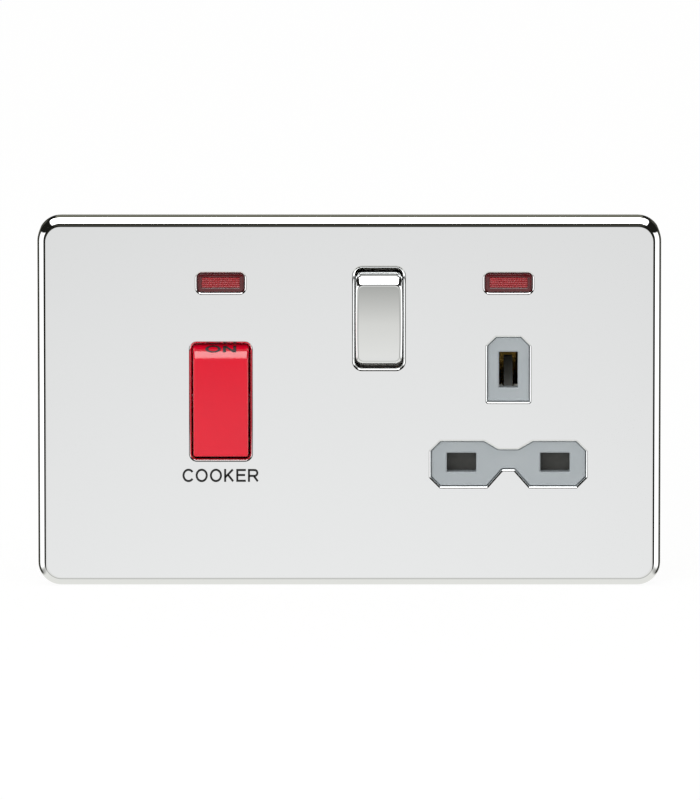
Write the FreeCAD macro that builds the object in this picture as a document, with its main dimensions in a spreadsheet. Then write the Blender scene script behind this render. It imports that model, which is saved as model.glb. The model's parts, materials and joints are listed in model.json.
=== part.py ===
"""Two-gang cooker control unit: a screwless plate with a cooker switch, a switched socket and two neons.

Millimetres. +X is to the right and +Z is up as it hangs on the wall. The front faces -Y, the wall
plane is y = 0, and the origin is the middle of the plate on that plane.
"""
import FreeCAD
import Part
import Sketcher
import math
import os
from types import SimpleNamespace

# Driving dimensions, one cell each
SIZES = {
    # Front plate
    "plate_width": 148.0,
    "plate_height": 88.0,
    "plate_projection": 8.0,
    "plate_gauge": 1.0,
    "plate_corner": 5.5,
    "plate_edge_round": 2.0,
    "aperture_edge_round": 0.4,
    "prise_notch_width": 5.5,
    "prise_notch_depth": 1.4,
    # Wall fixing and yoke
    "fixing_pitch": 120.6,
    "fixing_hole_radius": 2.1,
    "yoke_gauge": 1.4,
    "yoke_width": 136.0,
    "yoke_corner": 4.0,
    "clip_clearance": 0.3,
    "clip_width": 12.0,
    "clip_pitch": 84.0,
    "clip_length": 3.6,
    # Deck and housing
    "deck_gauge": 2.0,
    "deck_lap": 2.5,
    "deck_height": 78.0,
    "housing_width": 116.0,
    "housing_height": 66.0,
    "housing_depth": 31.0,
    "housing_wall": 2.0,
    "housing_corner": 3.0,
    "window_clearance": 0.4,
    "post_radius": 2.8,
    "lug_height": 14.0,
    "lug_depth": 5.0,
    # Screws
    "screw_radius": 1.4,
    "screw_head_radius": 2.6,
    "screw_head_height": 1.6,
    "screw_clearance": 0.2,
    "thread_clearance": 0.05,
    "deck_screw_pitch": 60.0,
    "deck_screw_inset": 2.6,
    "housing_screw_length": 14.0,
    # Rocker switches
    "rocker_throw": 15.0,
    "rocker_pivot": 2.0,
    "carrier_spacing": 13.0,
    "rocker_shoulder": 3.0,
    "rocker_lip": 1.0,
    "rocker_skirt": 2.0,
    "rocker_skirt_step": 2.2,
    "rocker_wall": 1.5,
    "rocker_edge_round": 0.6,
    "trunnion_radius": 1.5,
    "carrier_trunnion_radius": 1.2,
    "bearing_clearance": 0.05,
    "side_clearance": 0.4,
    "cheek_gauge": 3.0,
    "cheek_height": 5.6,
    "cheek_round": 1.6,
    "nose_radius": 3.0,
    "nose_reach": 5.5,
    "plunger_radius": 1.7,
    "plunger_tip_radius": 2.0,
    "plunger_reach": 9.0,
    "plunger_gap": 0.25,
    "plunger_engagement": 5.0,
    "plunger_head_length": 1.4,
    "plunger_stroke": 0.6,
    "plunger_spring_gap": 0.3,
    "plunger_spring_length": 3.4,
    "plunger_spring_radius": 1.15,
    "wire_flat_angle": 30.0,
    "plunger_wire_radius": 0.25,
    "cooker_inset": 27.5,
    "cooker_z": 0.3,
    "cooker_aperture_width": 14.2,
    "cooker_aperture_height": 28.6,
    "cooker_aperture_corner": 1.2,
    "cooker_rocker_width": 13.4,
    "cooker_rocker_length": 27.8,
    "cooker_face_width": 12.7,
    "cooker_face_length": 24.2,
    "cooker_face_rise": 8.6,
    "cooker_contact_arm": 11.5,
    "cooker_pole_pitch": 9.0,
    "switch_offset": 30.75,
    "switch_top_gap": 12.8,
    "socket_aperture_width": 12.4,
    "socket_aperture_height": 25.3,
    "socket_aperture_corner": 2.3,
    "socket_rocker_width": 10.7,
    "socket_rocker_length": 23.9,
    "socket_face_width": 9.25,
    "socket_face_length": 19.4,
    "socket_face_rise": 8.0,
    "socket_contact_arm": 7.6,
    # Blades, rivets and strips
    "carrier_back": 1.2,
    "carrier_overhang": 2.2,
    "carrier_corner": 1.0,
    "blade_gauge": 0.8,
    "blade_width": 4.0,
    "rivet_radius": 1.5,
    "moving_rivet_height": 0.9,
    "fixed_rivet_height": 1.2,
    "contact_gap": 0.5,
    "strip_gauge": 0.8,
    "strip_width": 3.0,
    "strip_spacing": 2.3,
    "strip_end": 2.0,
    "strip_setback": 1.0,
    "saddle_gap": 0.4,
    # Terminals
    "terminal_width": 10.4,
    "terminal_height": 11.0,
    "terminal_bore_radius": 3.25,
    "terminal_bore_wall": 1.2,
    "terminal_pitch": 13.0,
    "terminal_edge_round": 0.8,
    "clamp_screw_radius": 2.0,
    "clamp_screw_length": 4.8,
    "clamp_screw_backed_out": 0.4,
    "clamp_slot_width": 0.8,
    "clamp_slot_depth": 1.0,
    "driver_hole_clearance": 0.6,
    "cable_hole_radius": 4.3,
    "earth_terminal_offset": 29.8,
    # Socket outlet
    "outlet_inset": 20.2,
    "earth_pin_z": 7.7,
    "pin_pitch": 22.23,
    "earth_hole_width": 4.5,
    "earth_hole_height": 8.6,
    "line_hole_width": 7.0,
    "line_hole_height": 4.6,
    "earth_cutout_width": 10.7,
    "earth_cutout_height": 15.9,
    "earth_cutout_chamfer": 2.2,
    "line_cutout_width": 37.6,
    "line_cutout_height": 11.3,
    "line_cutout_chamfer": 2.7,
    "waist_top_outer": 5.8,
    "waist_top_inner": 2.4,
    "waist_top_drop": 2.0,
    "waist_bottom_outer": 5.1,
    "waist_bottom_inner": 1.5,
    "waist_bottom_rise": 4.1,
    "insert_margin": 1.5,
    "insert_foot": 4.3,
    "insert_screw_gap": 0.8,
    # Pin contacts
    "contact_gauge": 0.7,
    "contact_gap_width": 4.0,
    "contact_flare": 1.0,
    "contact_flare_length": 2.0,
    "contact_mouth": 1.0,
    "contact_base_gauge": 0.8,
    "line_contact_width": 6.0,
    "earth_contact_width": 6.6,
    # Shutter
    "shutter_gauge": 1.6,
    "shutter_slide_gap": 0.2,
    "shutter_side_gap": 0.3,
    "shutter_overlap": 0.5,
    "shutter_side_overlap": 0.7,
    "shutter_travel": 5.2,
    "shutter_ramp_width": 2.1,
    "shutter_ramp_top": 2.1,
    "shutter_ramp_depth": 6.0,
    "shutter_ramp_run": 6.4,
    "well_corner_run": 7.0,
    "well_corner_rise": 2.4,
    "shutter_floor": 1.2,
    "shutter_spring_radius": 0.6,
    "shutter_wire_radius": 0.15,
    "shutter_spring_length": 7.4,
    # Neon indicators
    "neon_top_gap": 4.7,
    "neon_aperture_width": 11.7,
    "neon_aperture_height": 5.5,
    "neon_aperture_corner": 1.2,
    "lens_clearance": 0.3,
    "lens_setback": 0.3,
    "lens_flange": 1.2,
    "lens_wall": 1.0,
    "lens_window_width": 9.1,
    "lens_window_height": 2.5,
    "lens_rib_height": 0.3,
    "lens_rib_gap": 0.25,
    "lens_recess": 0.4,
    "lamp_radius": 1.6,
    "lamp_length": 8.6,
    "lamp_tip": 1.2,
    "resistor_radius": 1.1,
    "resistor_length": 6.2,
    "resistor_lead_radius": 0.35,
    "resistor_lead_length": 2.4,
    "resistor_drop": 4.2,
    "seat_gap": 0.05,
}

# Counts
LENS_RIBS = 4
PLUNGER_SPRING_TURNS = 3
SHUTTER_SPRING_TURNS = 6

# Names for a sketch's points
START = 1
END = 2
CENTRE = 3
ORIGIN = -1


class Dim:
    """A length as a number and as the expression that gives it, so that sums stay tied to the sheet."""

    def __init__(self, value, text):
        self.value = float(value)
        self.text = text

    def __add__(self, other):
        other = as_dim(other)
        return Dim(self.value + other.value, f"({self.text} + {other.text})")

    def __sub__(self, other):
        other = as_dim(other)
        return Dim(self.value - other.value, f"({self.text} - {other.text})")

    def __mul__(self, other):
        other = as_dim(other)
        return Dim(self.value * other.value, f"({self.text} * {other.text})")

    def __truediv__(self, factor):
        return Dim(self.value / factor, f"({self.text} / {factor})")

    def __neg__(self):
        return Dim(-self.value, f"(0 - {self.text})")

    __radd__ = __add__
    __rmul__ = __mul__


def as_dim(number):
    """A plain number as a Dim."""
    return number if isinstance(number, Dim) else Dim(number, f"({number})")


def sine(degrees):
    """The sine of an angle in degrees."""
    return Dim(math.sin(math.radians(degrees.value)), f"sin({degrees.text} * 1 deg)")


def cosine(degrees):
    """The cosine of an angle in degrees."""
    return Dim(math.cos(math.radians(degrees.value)), f"cos({degrees.text} * 1 deg)")


def hypotenuse(across, up):
    """The long side of a right triangle."""
    return Dim(math.hypot(across.value, up.value), f"sqrt({across.text}^2 + {up.text}^2)")


ZERO = as_dim(0)

doc = FreeCAD.newDocument("cooker_control_unit")


def make_sheet():
    """Write every driving dimension to the sheet and return them as Dims by name."""
    sheet = doc.addObject("Spreadsheet::Sheet", "dims")
    for row, (name, number) in enumerate(SIZES.items(), start=1):
        sheet.set(f"A{row}", name)
        sheet.set(f"B{row}", str(number))
        sheet.setAlias(f"B{row}", name)
    doc.recompute()
    return SimpleNamespace(**{name: Dim(number, f"dims.{name}") for name, number in SIZES.items()})


dim = make_sheet()

# Sub-parts in the order that they are written
nodes = []


def bind(item, path, length):
    """Tie one property of an object to an expression."""
    item.setExpression(path, as_dim(length).text)


def place(item, x, y, z, tilt=ZERO):
    """Put an object at x, y, z, turned about X by tilt degrees."""
    item.Placement.Rotation = FreeCAD.Rotation(FreeCAD.Vector(1, 0, 0), as_dim(tilt).value)
    for axis, length in zip("xyz", (x, y, z)):
        bind(item, f"Placement.Base.{axis}", length)
    if tilt is not ZERO:
        bind(item, "Placement.Rotation.Angle", tilt)


def keep(item, label):
    """Name an object as a sub-part."""
    item.Label = label
    nodes.append(item)
    return item


# Sketches and features


def new_body(label):
    """An empty body for one sub-part."""
    return keep(doc.addObject("PartDesign::Body", label), label)


def origin_plane(body, role):
    """One of a body's own origin planes."""
    return next(plane for plane in body.Origin.OriginFeatures if plane.Role == role)


def new_sketch(body, plane, offset):
    """A sketch on an origin plane, moved along the plane's normal."""
    sketch = body.newObject("Sketcher::SketchObject", f"{body.Name}_sketch")
    sketch.AttachmentSupport = [(origin_plane(body, plane), "")]
    sketch.MapMode = "FlatFace"
    bind(sketch, "AttachmentOffset.Base.z", offset)
    return sketch


def constrain(sketch, length, *definition):
    """Add a dimension to a sketch and tie it to its expression."""
    index = sketch.addConstraint(Sketcher.Constraint(*definition, length.value))
    bind(sketch, f"Constraints[{index}]", length)


def pin_point(sketch, geometry, point, u, v):
    """Fix a point by its two distances from the sketch's origin."""
    constrain(sketch, u, "DistanceX", ORIGIN, START, geometry, point)
    constrain(sketch, v, "DistanceY", ORIGIN, START, geometry, point)


def add_polygon(sketch, points):
    """A closed outline of straight lines through the given points."""
    base = sketch.GeometryCount
    points = [(as_dim(u), as_dim(v)) for u, v in points]
    corners = [FreeCAD.Vector(u.value, v.value, 0) for u, v in points]
    for here, there in zip(corners, corners[1:] + corners[:1]):
        sketch.addGeometry(Part.LineSegment(here, there), False)
    for index, (u, v) in enumerate(points):
        following = base + (index + 1) % len(points)
        sketch.addConstraint(Sketcher.Constraint("Coincident", base + index, END, following, START))
        pin_point(sketch, base + index, START, u, v)


def add_rounded(sketch, u, v, width, height, corner):
    """A rectangle about u, v with round corners."""
    base = sketch.GeometryCount
    across = width / 2 - corner
    up = height / 2 - corner
    centres = [(u + across, v + up), (u - across, v + up), (u - across, v - up), (u + across, v - up)]
    for quarter, (centre_u, centre_v) in enumerate(centres):
        circle = Part.Circle(
            FreeCAD.Vector(centre_u.value, centre_v.value, 0), FreeCAD.Vector(0, 0, 1), corner.value
        )
        begin = quarter * math.pi / 2
        sketch.addGeometry(Part.ArcOfCircle(circle, begin, begin + math.pi / 2), False)
    for quarter in range(4):
        here = sketch.Geometry[base + quarter].EndPoint
        there = sketch.Geometry[base + (quarter + 1) % 4].StartPoint
        sketch.addGeometry(Part.LineSegment(here, there), False)
    for quarter, (centre_u, centre_v) in enumerate(centres):
        arc = base + quarter
        line = base + 4 + quarter
        following = base + (quarter + 1) % 4
        sketch.addConstraint(Sketcher.Constraint("Tangent", arc, END, line, START))
        sketch.addConstraint(Sketcher.Constraint("Tangent", line, END, following, START))
        pin_point(sketch, arc, CENTRE, centre_u, centre_v)
        constrain(sketch, corner, "Radius", arc)


def add_circle(sketch, u, v, radius):
    """A circle about u, v."""
    circle = Part.Circle(
        FreeCAD.Vector(as_dim(u).value, as_dim(v).value, 0), FreeCAD.Vector(0, 0, 1), radius.value
    )
    index = sketch.addGeometry(circle, False)
    pin_point(sketch, index, CENTRE, as_dim(u), as_dim(v))
    constrain(sketch, radius, "Radius", index)


def draw(body, plane, level, loops):
    """A sketch at a level along the plane's world axis, holding each loop: a tool and its arguments."""
    level = as_dim(level)
    sketch = new_sketch(body, plane, -level if plane == "XZ_Plane" else level)
    for tool, *arguments in loops:
        tool(sketch, *arguments)
    return sketch


def extrude(body, kind, plane, loops, low, high):
    """Pad or pocket the loops between two levels of the world axis that the plane faces."""
    low = as_dim(low)
    high = as_dim(high)
    sketch = draw(body, plane, high if plane == "XZ_Plane" else low, loops)
    feature = body.newObject(f"PartDesign::{kind}", f"{body.Name}_{kind.lower()}")
    feature.Profile = sketch
    feature.Reversed = kind == "Pocket"
    bind(feature, "Length", high - low)
    body.Tip = feature
    return feature


def pad(body, plane, loops, low, high):
    """Add material between two levels."""
    return extrude(body, "Pad", plane, loops, low, high)


def pocket(body, plane, loops, low, high):
    """Take material away between two levels, and make sure that something was cut."""
    doc.recompute()
    before = body.Shape.Volume
    feature = extrude(body, "Pocket", plane, loops, low, high)
    doc.recompute()
    if body.Shape.Volume > before - 1e-6:
        raise RuntimeError(f"a pocket in {body.Label} cuts nothing")
    return feature


def revolve(body, points, axis_letter, plane):
    """Turn a closed outline about one of the body's axes."""
    sketch = draw(body, plane, ZERO, [(add_polygon, points)])
    feature = body.newObject("PartDesign::Revolution", f"{body.Name}_revolution")
    feature.Profile = sketch
    axis = next(item for item in body.Origin.OriginFeatures if item.Role == f"{axis_letter}_Axis")
    feature.ReferenceAxis = (axis, [""])
    feature.Angle = 360
    body.Tip = feature
    return feature


def dress(body, kind, path, length, chosen):
    """Fillet or chamfer the edges that the test chooses on the body as it stands."""
    doc.recompute()
    tip = body.Tip
    names = [f"Edge{i}" for i, edge in enumerate(tip.Shape.Edges, start=1) if chosen(edge)]
    if not names:
        raise RuntimeError(f"no edge to {kind.lower()} on {body.Label}")
    feature = body.newObject(f"PartDesign::{kind}", f"{body.Name}_{kind.lower()}")
    feature.Base = (tip, names)
    bind(feature, path, length)
    body.Tip = feature
    return feature


def fillet(body, radius, chosen):
    """Round the chosen edges."""
    return dress(body, "Fillet", "Radius", radius, chosen)


def at_level(edge, axis, level):
    """Whether the whole edge lies at one level of an axis."""
    box = edge.BoundBox
    low = getattr(box, f"{axis}Min")
    high = getattr(box, f"{axis}Max")
    return abs(low - level) < 1e-4 and abs(high - level) < 1e-4


def along(edge, axis):
    """Whether the edge is a straight one along an axis."""
    return isinstance(edge.Curve, Part.Line) and abs(getattr(edge.Curve.Direction, axis)) > 0.999


def rectangle(left, right, bottom, top):
    """The corners of an upright rectangle."""
    return [(left, bottom), (right, bottom), (right, top), (left, top)]


def box(u, v, width, height):
    """A rectangle loop about a centre."""
    corners = rectangle(u - width / 2, u + width / 2, v - height / 2, v + height / 2)
    return (add_polygon, corners)


def group(label, solids):
    """Like solids that share one node."""
    union = doc.addObject("Part::Compound", label)
    union.Links = solids
    return keep(union, label)


# Levels along Y, from the front to the back
plate_front = -dim.plate_projection
plate_back = plate_front + dim.plate_gauge
yoke_front = -dim.yoke_gauge
deck_front = yoke_front - dim.deck_gauge
rocker_axis = -dim.rocker_pivot
carrier_axis = rocker_axis + dim.carrier_spacing
tilt = dim.rocker_throw / 2
blade_back = dim.carrier_back + dim.blade_gauge
moving_tip = blade_back + dim.moving_rivet_height
cooker_touch = carrier_axis + moving_tip * cosine(tilt) + dim.cooker_contact_arm * sine(tilt)
socket_touch = carrier_axis + moving_tip * cosine(tilt) + dim.socket_contact_arm * sine(tilt)
strip_front = cooker_touch + dim.contact_gap + dim.fixed_rivet_height
strip_back = strip_front + dim.strip_gauge
saddle_front = carrier_axis + blade_back + dim.saddle_gap
floor_front = dim.housing_depth - dim.housing_wall
bore_y = strip_back + dim.terminal_bore_wall + dim.terminal_bore_radius

# Places across the face
cooker_x = dim.cooker_inset - dim.housing_width / 2
outlet_x = dim.housing_width / 2 - dim.outlet_inset
switch_x = outlet_x - dim.switch_offset
switch_z = dim.housing_height / 2 - dim.switch_top_gap
neon_z = dim.housing_height / 2 - dim.neon_top_gap
earth_terminal_x = outlet_x - dim.earth_terminal_offset
post_inset = dim.post_radius + dim.housing_wall / 2
post_x = dim.housing_width / 2 - post_inset
post_z = dim.housing_height / 2 - post_inset
terminal_top = dim.housing_height / 2 - dim.housing_wall
terminal_z = terminal_top - dim.terminal_height / 2
neutral_pole = cooker_x - dim.cooker_pole_pitch / 2
live_pole = cooker_x + dim.cooker_pole_pitch / 2
neutral_block = cooker_x - dim.terminal_pitch / 2
live_block = cooker_x + dim.terminal_pitch / 2
line_z = dim.earth_pin_z - dim.pin_pitch
neutral_pin_x = outlet_x - dim.pin_pitch / 2
live_pin_x = outlet_x + dim.pin_pitch / 2
plate_inside_height = dim.plate_height - dim.plate_gauge * 2
yoke_height = plate_inside_height - dim.clip_clearance * 2

# Both rocker switches share one set of names for their own sizes
SWITCHES = [
    SimpleNamespace(
        name="cooker",
        x=cooker_x,
        z=dim.cooker_z,
        width=dim.cooker_rocker_width,
        length=dim.cooker_rocker_length,
        face_width=dim.cooker_face_width,
        face_length=dim.cooker_face_length,
        rise=dim.cooker_face_rise,
        arm=dim.cooker_contact_arm,
        poles={
            "cooker_neutral_blade": -(dim.cooker_pole_pitch / 2),
            "cooker_live_blade": dim.cooker_pole_pitch / 2,
        },
    ),
    SimpleNamespace(
        name="socket",
        x=switch_x,
        z=switch_z,
        width=dim.socket_rocker_width,
        length=dim.socket_rocker_length,
        face_width=dim.socket_face_width,
        face_length=dim.socket_face_length,
        rise=dim.socket_face_rise,
        arm=dim.socket_contact_arm,
        poles={"socket_blade": ZERO},
    ),
]


def fixed_touch_z(switch):
    """The height at which a switch's moving rivet meets its fixed one."""
    return switch.z + switch.arm * cosine(tilt) - moving_tip * sine(tilt)


def notched(half_width, half_height, notch_x, notch_half):
    """An upright rectangle with a notch in each side, clear of the wall screws."""
    right = [
        (half_width, -half_height),
        (half_width, -notch_half),
        (notch_x, -notch_half),
        (notch_x, notch_half),
        (half_width, notch_half),
        (half_width, half_height),
    ]
    left = [(-x, -z) for x, z in right]
    return (add_polygon, right + left)


def housing_outline(grow):
    """The housing's outline, grown by a margin."""
    return notched(
        dim.housing_width / 2 + grow,
        dim.housing_height / 2 + grow,
        dim.housing_width / 2 - dim.lug_depth + grow,
        dim.lug_height / 2 - grow,
    )


def mirrored_points(points):
    """An outline to the right of the outlet's middle, closed by its mirror image."""
    middle = outlet_x
    right = [(middle + x, z) for x, z in points]
    left = [(middle - x, z) for x, z in reversed(points)]
    return (add_polygon, right + left)


def earth_cutout():
    """The cut-out round the earth hole, with its upper corners cut off."""
    half_width = dim.earth_cutout_width / 2
    low = dim.earth_pin_z - dim.earth_cutout_height / 2
    high = dim.earth_pin_z + dim.earth_cutout_height / 2
    cut = dim.earth_cutout_chamfer
    return mirrored_points([(half_width, low), (half_width, high - cut), (half_width - cut, high)])


def line_cutout():
    """The cut-out round the live and neutral holes: two wide ends joined by a waist."""
    half_width = dim.line_cutout_width / 2
    low = line_z - dim.line_cutout_height / 2
    high = line_z + dim.line_cutout_height / 2
    cut = dim.line_cutout_chamfer
    return mirrored_points(
        [
            (dim.waist_bottom_inner, low + dim.waist_bottom_rise),
            (dim.waist_bottom_outer, low),
            (half_width - cut, low),
            (half_width, low + cut),
            (half_width, high - cut),
            (half_width - cut, high),
            (dim.waist_top_outer, high),
            (dim.waist_top_inner, high - dim.waist_top_drop),
        ]
    )


def make_front_plate():
    """A pressed dish with a round front edge, six apertures and a prise-off notch at each side."""
    body = new_body("front_plate")
    outline = (add_rounded, ZERO, ZERO, dim.plate_width, dim.plate_height, dim.plate_corner)
    pad(body, "XZ_Plane", [outline], plate_front, ZERO)
    fillet(body, dim.plate_edge_round, lambda edge: at_level(edge, "Y", plate_front.value))
    hollow = (
        add_rounded,
        ZERO,
        ZERO,
        dim.plate_width - dim.plate_gauge * 2,
        plate_inside_height,
        dim.plate_corner - dim.plate_gauge,
    )
    pocket(body, "XZ_Plane", [hollow], plate_back, ZERO)
    inner_round = dim.plate_edge_round - dim.plate_gauge
    fillet(body, inner_round, lambda edge: at_level(edge, "Y", plate_back.value))
    apertures = [earth_cutout(), line_cutout()]
    for x in (cooker_x, outlet_x):
        size = (dim.neon_aperture_width, dim.neon_aperture_height, dim.neon_aperture_corner)
        apertures.append((add_rounded, x, neon_z, *size))
    size = (dim.cooker_aperture_width, dim.cooker_aperture_height, dim.cooker_aperture_corner)
    apertures.append((add_rounded, cooker_x, dim.cooker_z, *size))
    size = (dim.socket_aperture_width, dim.socket_aperture_height, dim.socket_aperture_corner)
    apertures.append((add_rounded, switch_x, switch_z, *size))
    pocket(body, "XZ_Plane", apertures, plate_front, plate_back)
    half = dim.prise_notch_width / 2
    notch = (add_polygon, rectangle(-dim.prise_notch_depth, ZERO, -half, half))
    pocket(body, "YZ_Plane", [notch], -(dim.plate_width / 2), dim.plate_width / 2)
    face = next(
        face
        for face in body.Tip.Shape.Faces
        if at_level(face, "Y", plate_front.value) and face.normalAt(0, 0).y < -0.999
    )
    lips = [edge for wire in face.Wires if not wire.isSame(face.OuterWire) for edge in wire.Edges]
    fillet(body, dim.aperture_edge_round, lambda edge: any(edge.isSame(lip) for lip in lips))


def make_yoke():
    """A steel frame with two wall fixing holes, a window for the housing and four spring clips."""
    body = new_body("mounting_yoke")
    frame = (add_rounded, ZERO, ZERO, dim.yoke_width, yoke_height, dim.yoke_corner)
    pad(body, "XZ_Plane", [frame], yoke_front, ZERO)
    pocket(body, "XZ_Plane", [housing_outline(dim.window_clearance)], yoke_front, ZERO)
    holes = []
    for side in (-1, 1):
        holes.append((add_circle, dim.fixing_pitch * side / 2, ZERO, dim.fixing_hole_radius))
    for x, z in deck_screw_places():
        holes.append((add_circle, x, z, dim.screw_radius + dim.thread_clearance))
    pocket(body, "XZ_Plane", holes, yoke_front, ZERO)
    clips = []
    for side in (-1, 1):
        for end in (-1, 1):
            middle_z = (yoke_height - dim.yoke_gauge) * end / 2
            clips.append(box(dim.clip_pitch * side / 2, middle_z, dim.clip_width, dim.yoke_gauge))
    pad(body, "XZ_Plane", clips, yoke_front - dim.clip_length, yoke_front)


def four_places(x, z):
    """A place in each quarter of the face."""
    return [(x * side, z * end) for side in (-1, 1) for end in (-1, 1)]


def deck_screw_places():
    """The screws that hold the deck to the yoke."""
    return four_places(dim.deck_screw_pitch / 2, dim.deck_height / 2 - dim.deck_screw_inset)


def terminal_places():
    """Each terminal's middle across the face, by name."""
    return {
        "feed_live_terminal": (live_block, terminal_z),
        "feed_neutral_terminal": (neutral_block, terminal_z),
        "load_live_terminal": (live_block, -terminal_z),
        "load_neutral_terminal": (neutral_block, -terminal_z),
        "earth_terminal": (earth_terminal_x, -terminal_z),
    }


# The shutter's outline, which the deck's well follows
shutter_half = dim.pin_pitch / 2 + dim.line_hole_width / 2 + dim.shutter_side_overlap
shutter_top = line_z + dim.line_hole_height / 2 + dim.shutter_overlap
shutter_bottom = line_z - dim.line_hole_height / 2 - dim.shutter_overlap
ramp_top = dim.earth_pin_z + dim.shutter_ramp_top
ramp_foot = ramp_top - dim.shutter_ramp_run
spring_foot = shutter_bottom - dim.shutter_spring_length - dim.seat_gap
spring_half = dim.shutter_spring_radius + dim.shutter_wire_radius + dim.shutter_side_gap
shutter_front = deck_front + dim.shutter_slide_gap
shutter_back = shutter_front + dim.shutter_gauge


def shutter_tee(gap, drop, stem_top):
    """The shutter's wide foot and narrow stem, grown by a gap and stretched down by its travel."""
    stem = dim.shutter_ramp_width / 2 + gap
    return mirrored_points(
        [
            (shutter_half + gap, shutter_bottom - drop - gap),
            (shutter_half + gap, shutter_top + gap),
            (stem, shutter_top + gap),
            (stem, stem_top),
        ]
    )


def make_deck():
    """The moulded deck: flange, bearing cheeks for both switches, shutter well and lamp windows."""
    body = new_body("module_deck")
    flange = notched(
        dim.housing_width / 2 + dim.deck_lap,
        dim.deck_height / 2,
        dim.housing_width / 2 - dim.lug_depth + dim.deck_lap,
        dim.lug_height / 2 - dim.deck_lap,
    )
    pad(body, "XZ_Plane", [flange], deck_front, yoke_front)
    wall = dim.housing_wall
    gap = dim.shutter_side_gap
    well_foot = shutter_bottom - dim.shutter_travel - gap - wall
    well_floor = mirrored_points(
        [
            (spring_half + wall, spring_foot - wall),
            (spring_half + wall, well_foot),
            (shutter_half + gap + wall - dim.well_corner_run, well_foot),
            (shutter_half + gap + wall, well_foot + dim.well_corner_rise),
            (shutter_half + gap + wall, shutter_top + gap + wall),
            (dim.earth_hole_width / 2 + wall, shutter_top + gap + wall),
            (dim.earth_hole_width / 2 + wall, dim.earth_pin_z + dim.earth_hole_height / 2 + wall),
        ]
    )
    well_back = yoke_front + dim.shutter_floor
    pad(body, "XZ_Plane", [well_floor], yoke_front, well_back)
    for switch in SWITCHES:
        inner = switch.width / 2 + dim.side_clearance
        cheek = (
            add_rounded,
            (rocker_axis + carrier_axis) / 2,
            switch.z,
            dim.carrier_spacing + dim.cheek_height,
            dim.cheek_height,
            dim.cheek_round,
        )
        pad(body, "YZ_Plane", [cheek], switch.x + inner, switch.x + inner + dim.cheek_gauge)
        pad(body, "YZ_Plane", [cheek], switch.x - inner - dim.cheek_gauge, switch.x - inner)
    windows = []
    for switch in SWITCHES:
        swing = hypotenuse(switch.length / 2, dim.rocker_shoulder) + dim.side_clearance
        windows.append(box(switch.x, switch.z, switch.width + dim.side_clearance * 2, swing * 2))
    for x in (cooker_x, outlet_x):
        lamp_gap = dim.lens_clearance * 2
        windows.append(box(x, neon_z, dim.lamp_length + lamp_gap, dim.lamp_radius * 2 + lamp_gap))
    pocket(body, "XZ_Plane", windows, deck_front, yoke_front)
    pocket(body, "XZ_Plane", [shutter_tee(gap, dim.shutter_travel, ramp_top + gap)], deck_front, yoke_front)
    spring_slot = rectangle(
        outlet_x - spring_half, outlet_x + spring_half, spring_foot, shutter_bottom
    )
    pocket(body, "XZ_Plane", [(add_polygon, spring_slot)], deck_front, yoke_front)
    pocket(body, "XZ_Plane", [earth_hole()], deck_front, well_back)
    slot_half = dim.shutter_ramp_width / 2 + gap
    ramp_slot = rectangle(
        outlet_x - slot_half,
        outlet_x + slot_half,
        ramp_foot - dim.shutter_travel - gap,
        dim.earth_pin_z,
    )
    pocket(body, "XZ_Plane", [(add_polygon, ramp_slot)], yoke_front, well_back)
    pocket(body, "XZ_Plane", line_holes(), yoke_front, well_back)
    for switch in SWITCHES:
        reach = switch.width / 2 + dim.side_clearance + dim.cheek_gauge
        bearings = [
            (add_circle, rocker_axis, switch.z, dim.trunnion_radius + dim.bearing_clearance),
            (add_circle, carrier_axis, switch.z, dim.carrier_trunnion_radius + dim.bearing_clearance),
        ]
        pocket(body, "YZ_Plane", bearings, switch.x - reach, switch.x + reach)
    screw_holes = [
        (add_circle, x, z, dim.screw_radius + dim.screw_clearance)
        for x, z in deck_screw_places() + four_places(post_x, post_z)
    ]
    pocket(body, "XZ_Plane", screw_holes, deck_front, yoke_front)


def make_housing():
    """The moulded cup behind the wall, with corner posts, cable holes and driver holes."""
    body = new_body("rear_housing")
    pad(body, "XZ_Plane", [housing_outline(ZERO)], yoke_front, dim.housing_depth)
    half_height = dim.housing_height.value / 2
    fillet(
        body,
        dim.housing_corner,
        lambda edge: along(edge, "y") and abs(abs(edge.CenterOfMass.z) - half_height) < 1e-4,
    )
    pocket(body, "XZ_Plane", [housing_outline(-dim.housing_wall)], yoke_front, floor_front)
    posts = [(add_circle, x, z, dim.post_radius) for x, z in four_places(post_x, post_z)]
    pad(body, "XZ_Plane", posts, yoke_front, floor_front)
    thread = dim.screw_radius + dim.thread_clearance
    threads = [(add_circle, x, z, thread) for x, z in four_places(post_x, post_z)]
    pocket(body, "XZ_Plane", threads, yoke_front, deck_front + dim.housing_screw_length)
    feeds = [(add_circle, x, bore_y, dim.cable_hole_radius) for x, z in feed_places()]
    pocket(body, "XY_Plane", feeds, terminal_top, dim.housing_height / 2)
    loads = [(add_circle, x, bore_y, dim.cable_hole_radius) for x, z in load_places()]
    pocket(body, "XY_Plane", loads, -(dim.housing_height / 2), -terminal_top)
    driver = dim.clamp_screw_radius + dim.driver_hole_clearance
    drivers = [(add_circle, x, z, driver) for x, z in terminal_places().values()]
    pocket(body, "XZ_Plane", drivers, floor_front, dim.housing_depth)


def feed_places():
    """The terminals in the upper row."""
    return [spot for spot in terminal_places().values() if spot[1].value > 0]


def load_places():
    """The terminals in the lower row."""
    return [spot for spot in terminal_places().values() if spot[1].value < 0]


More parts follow.
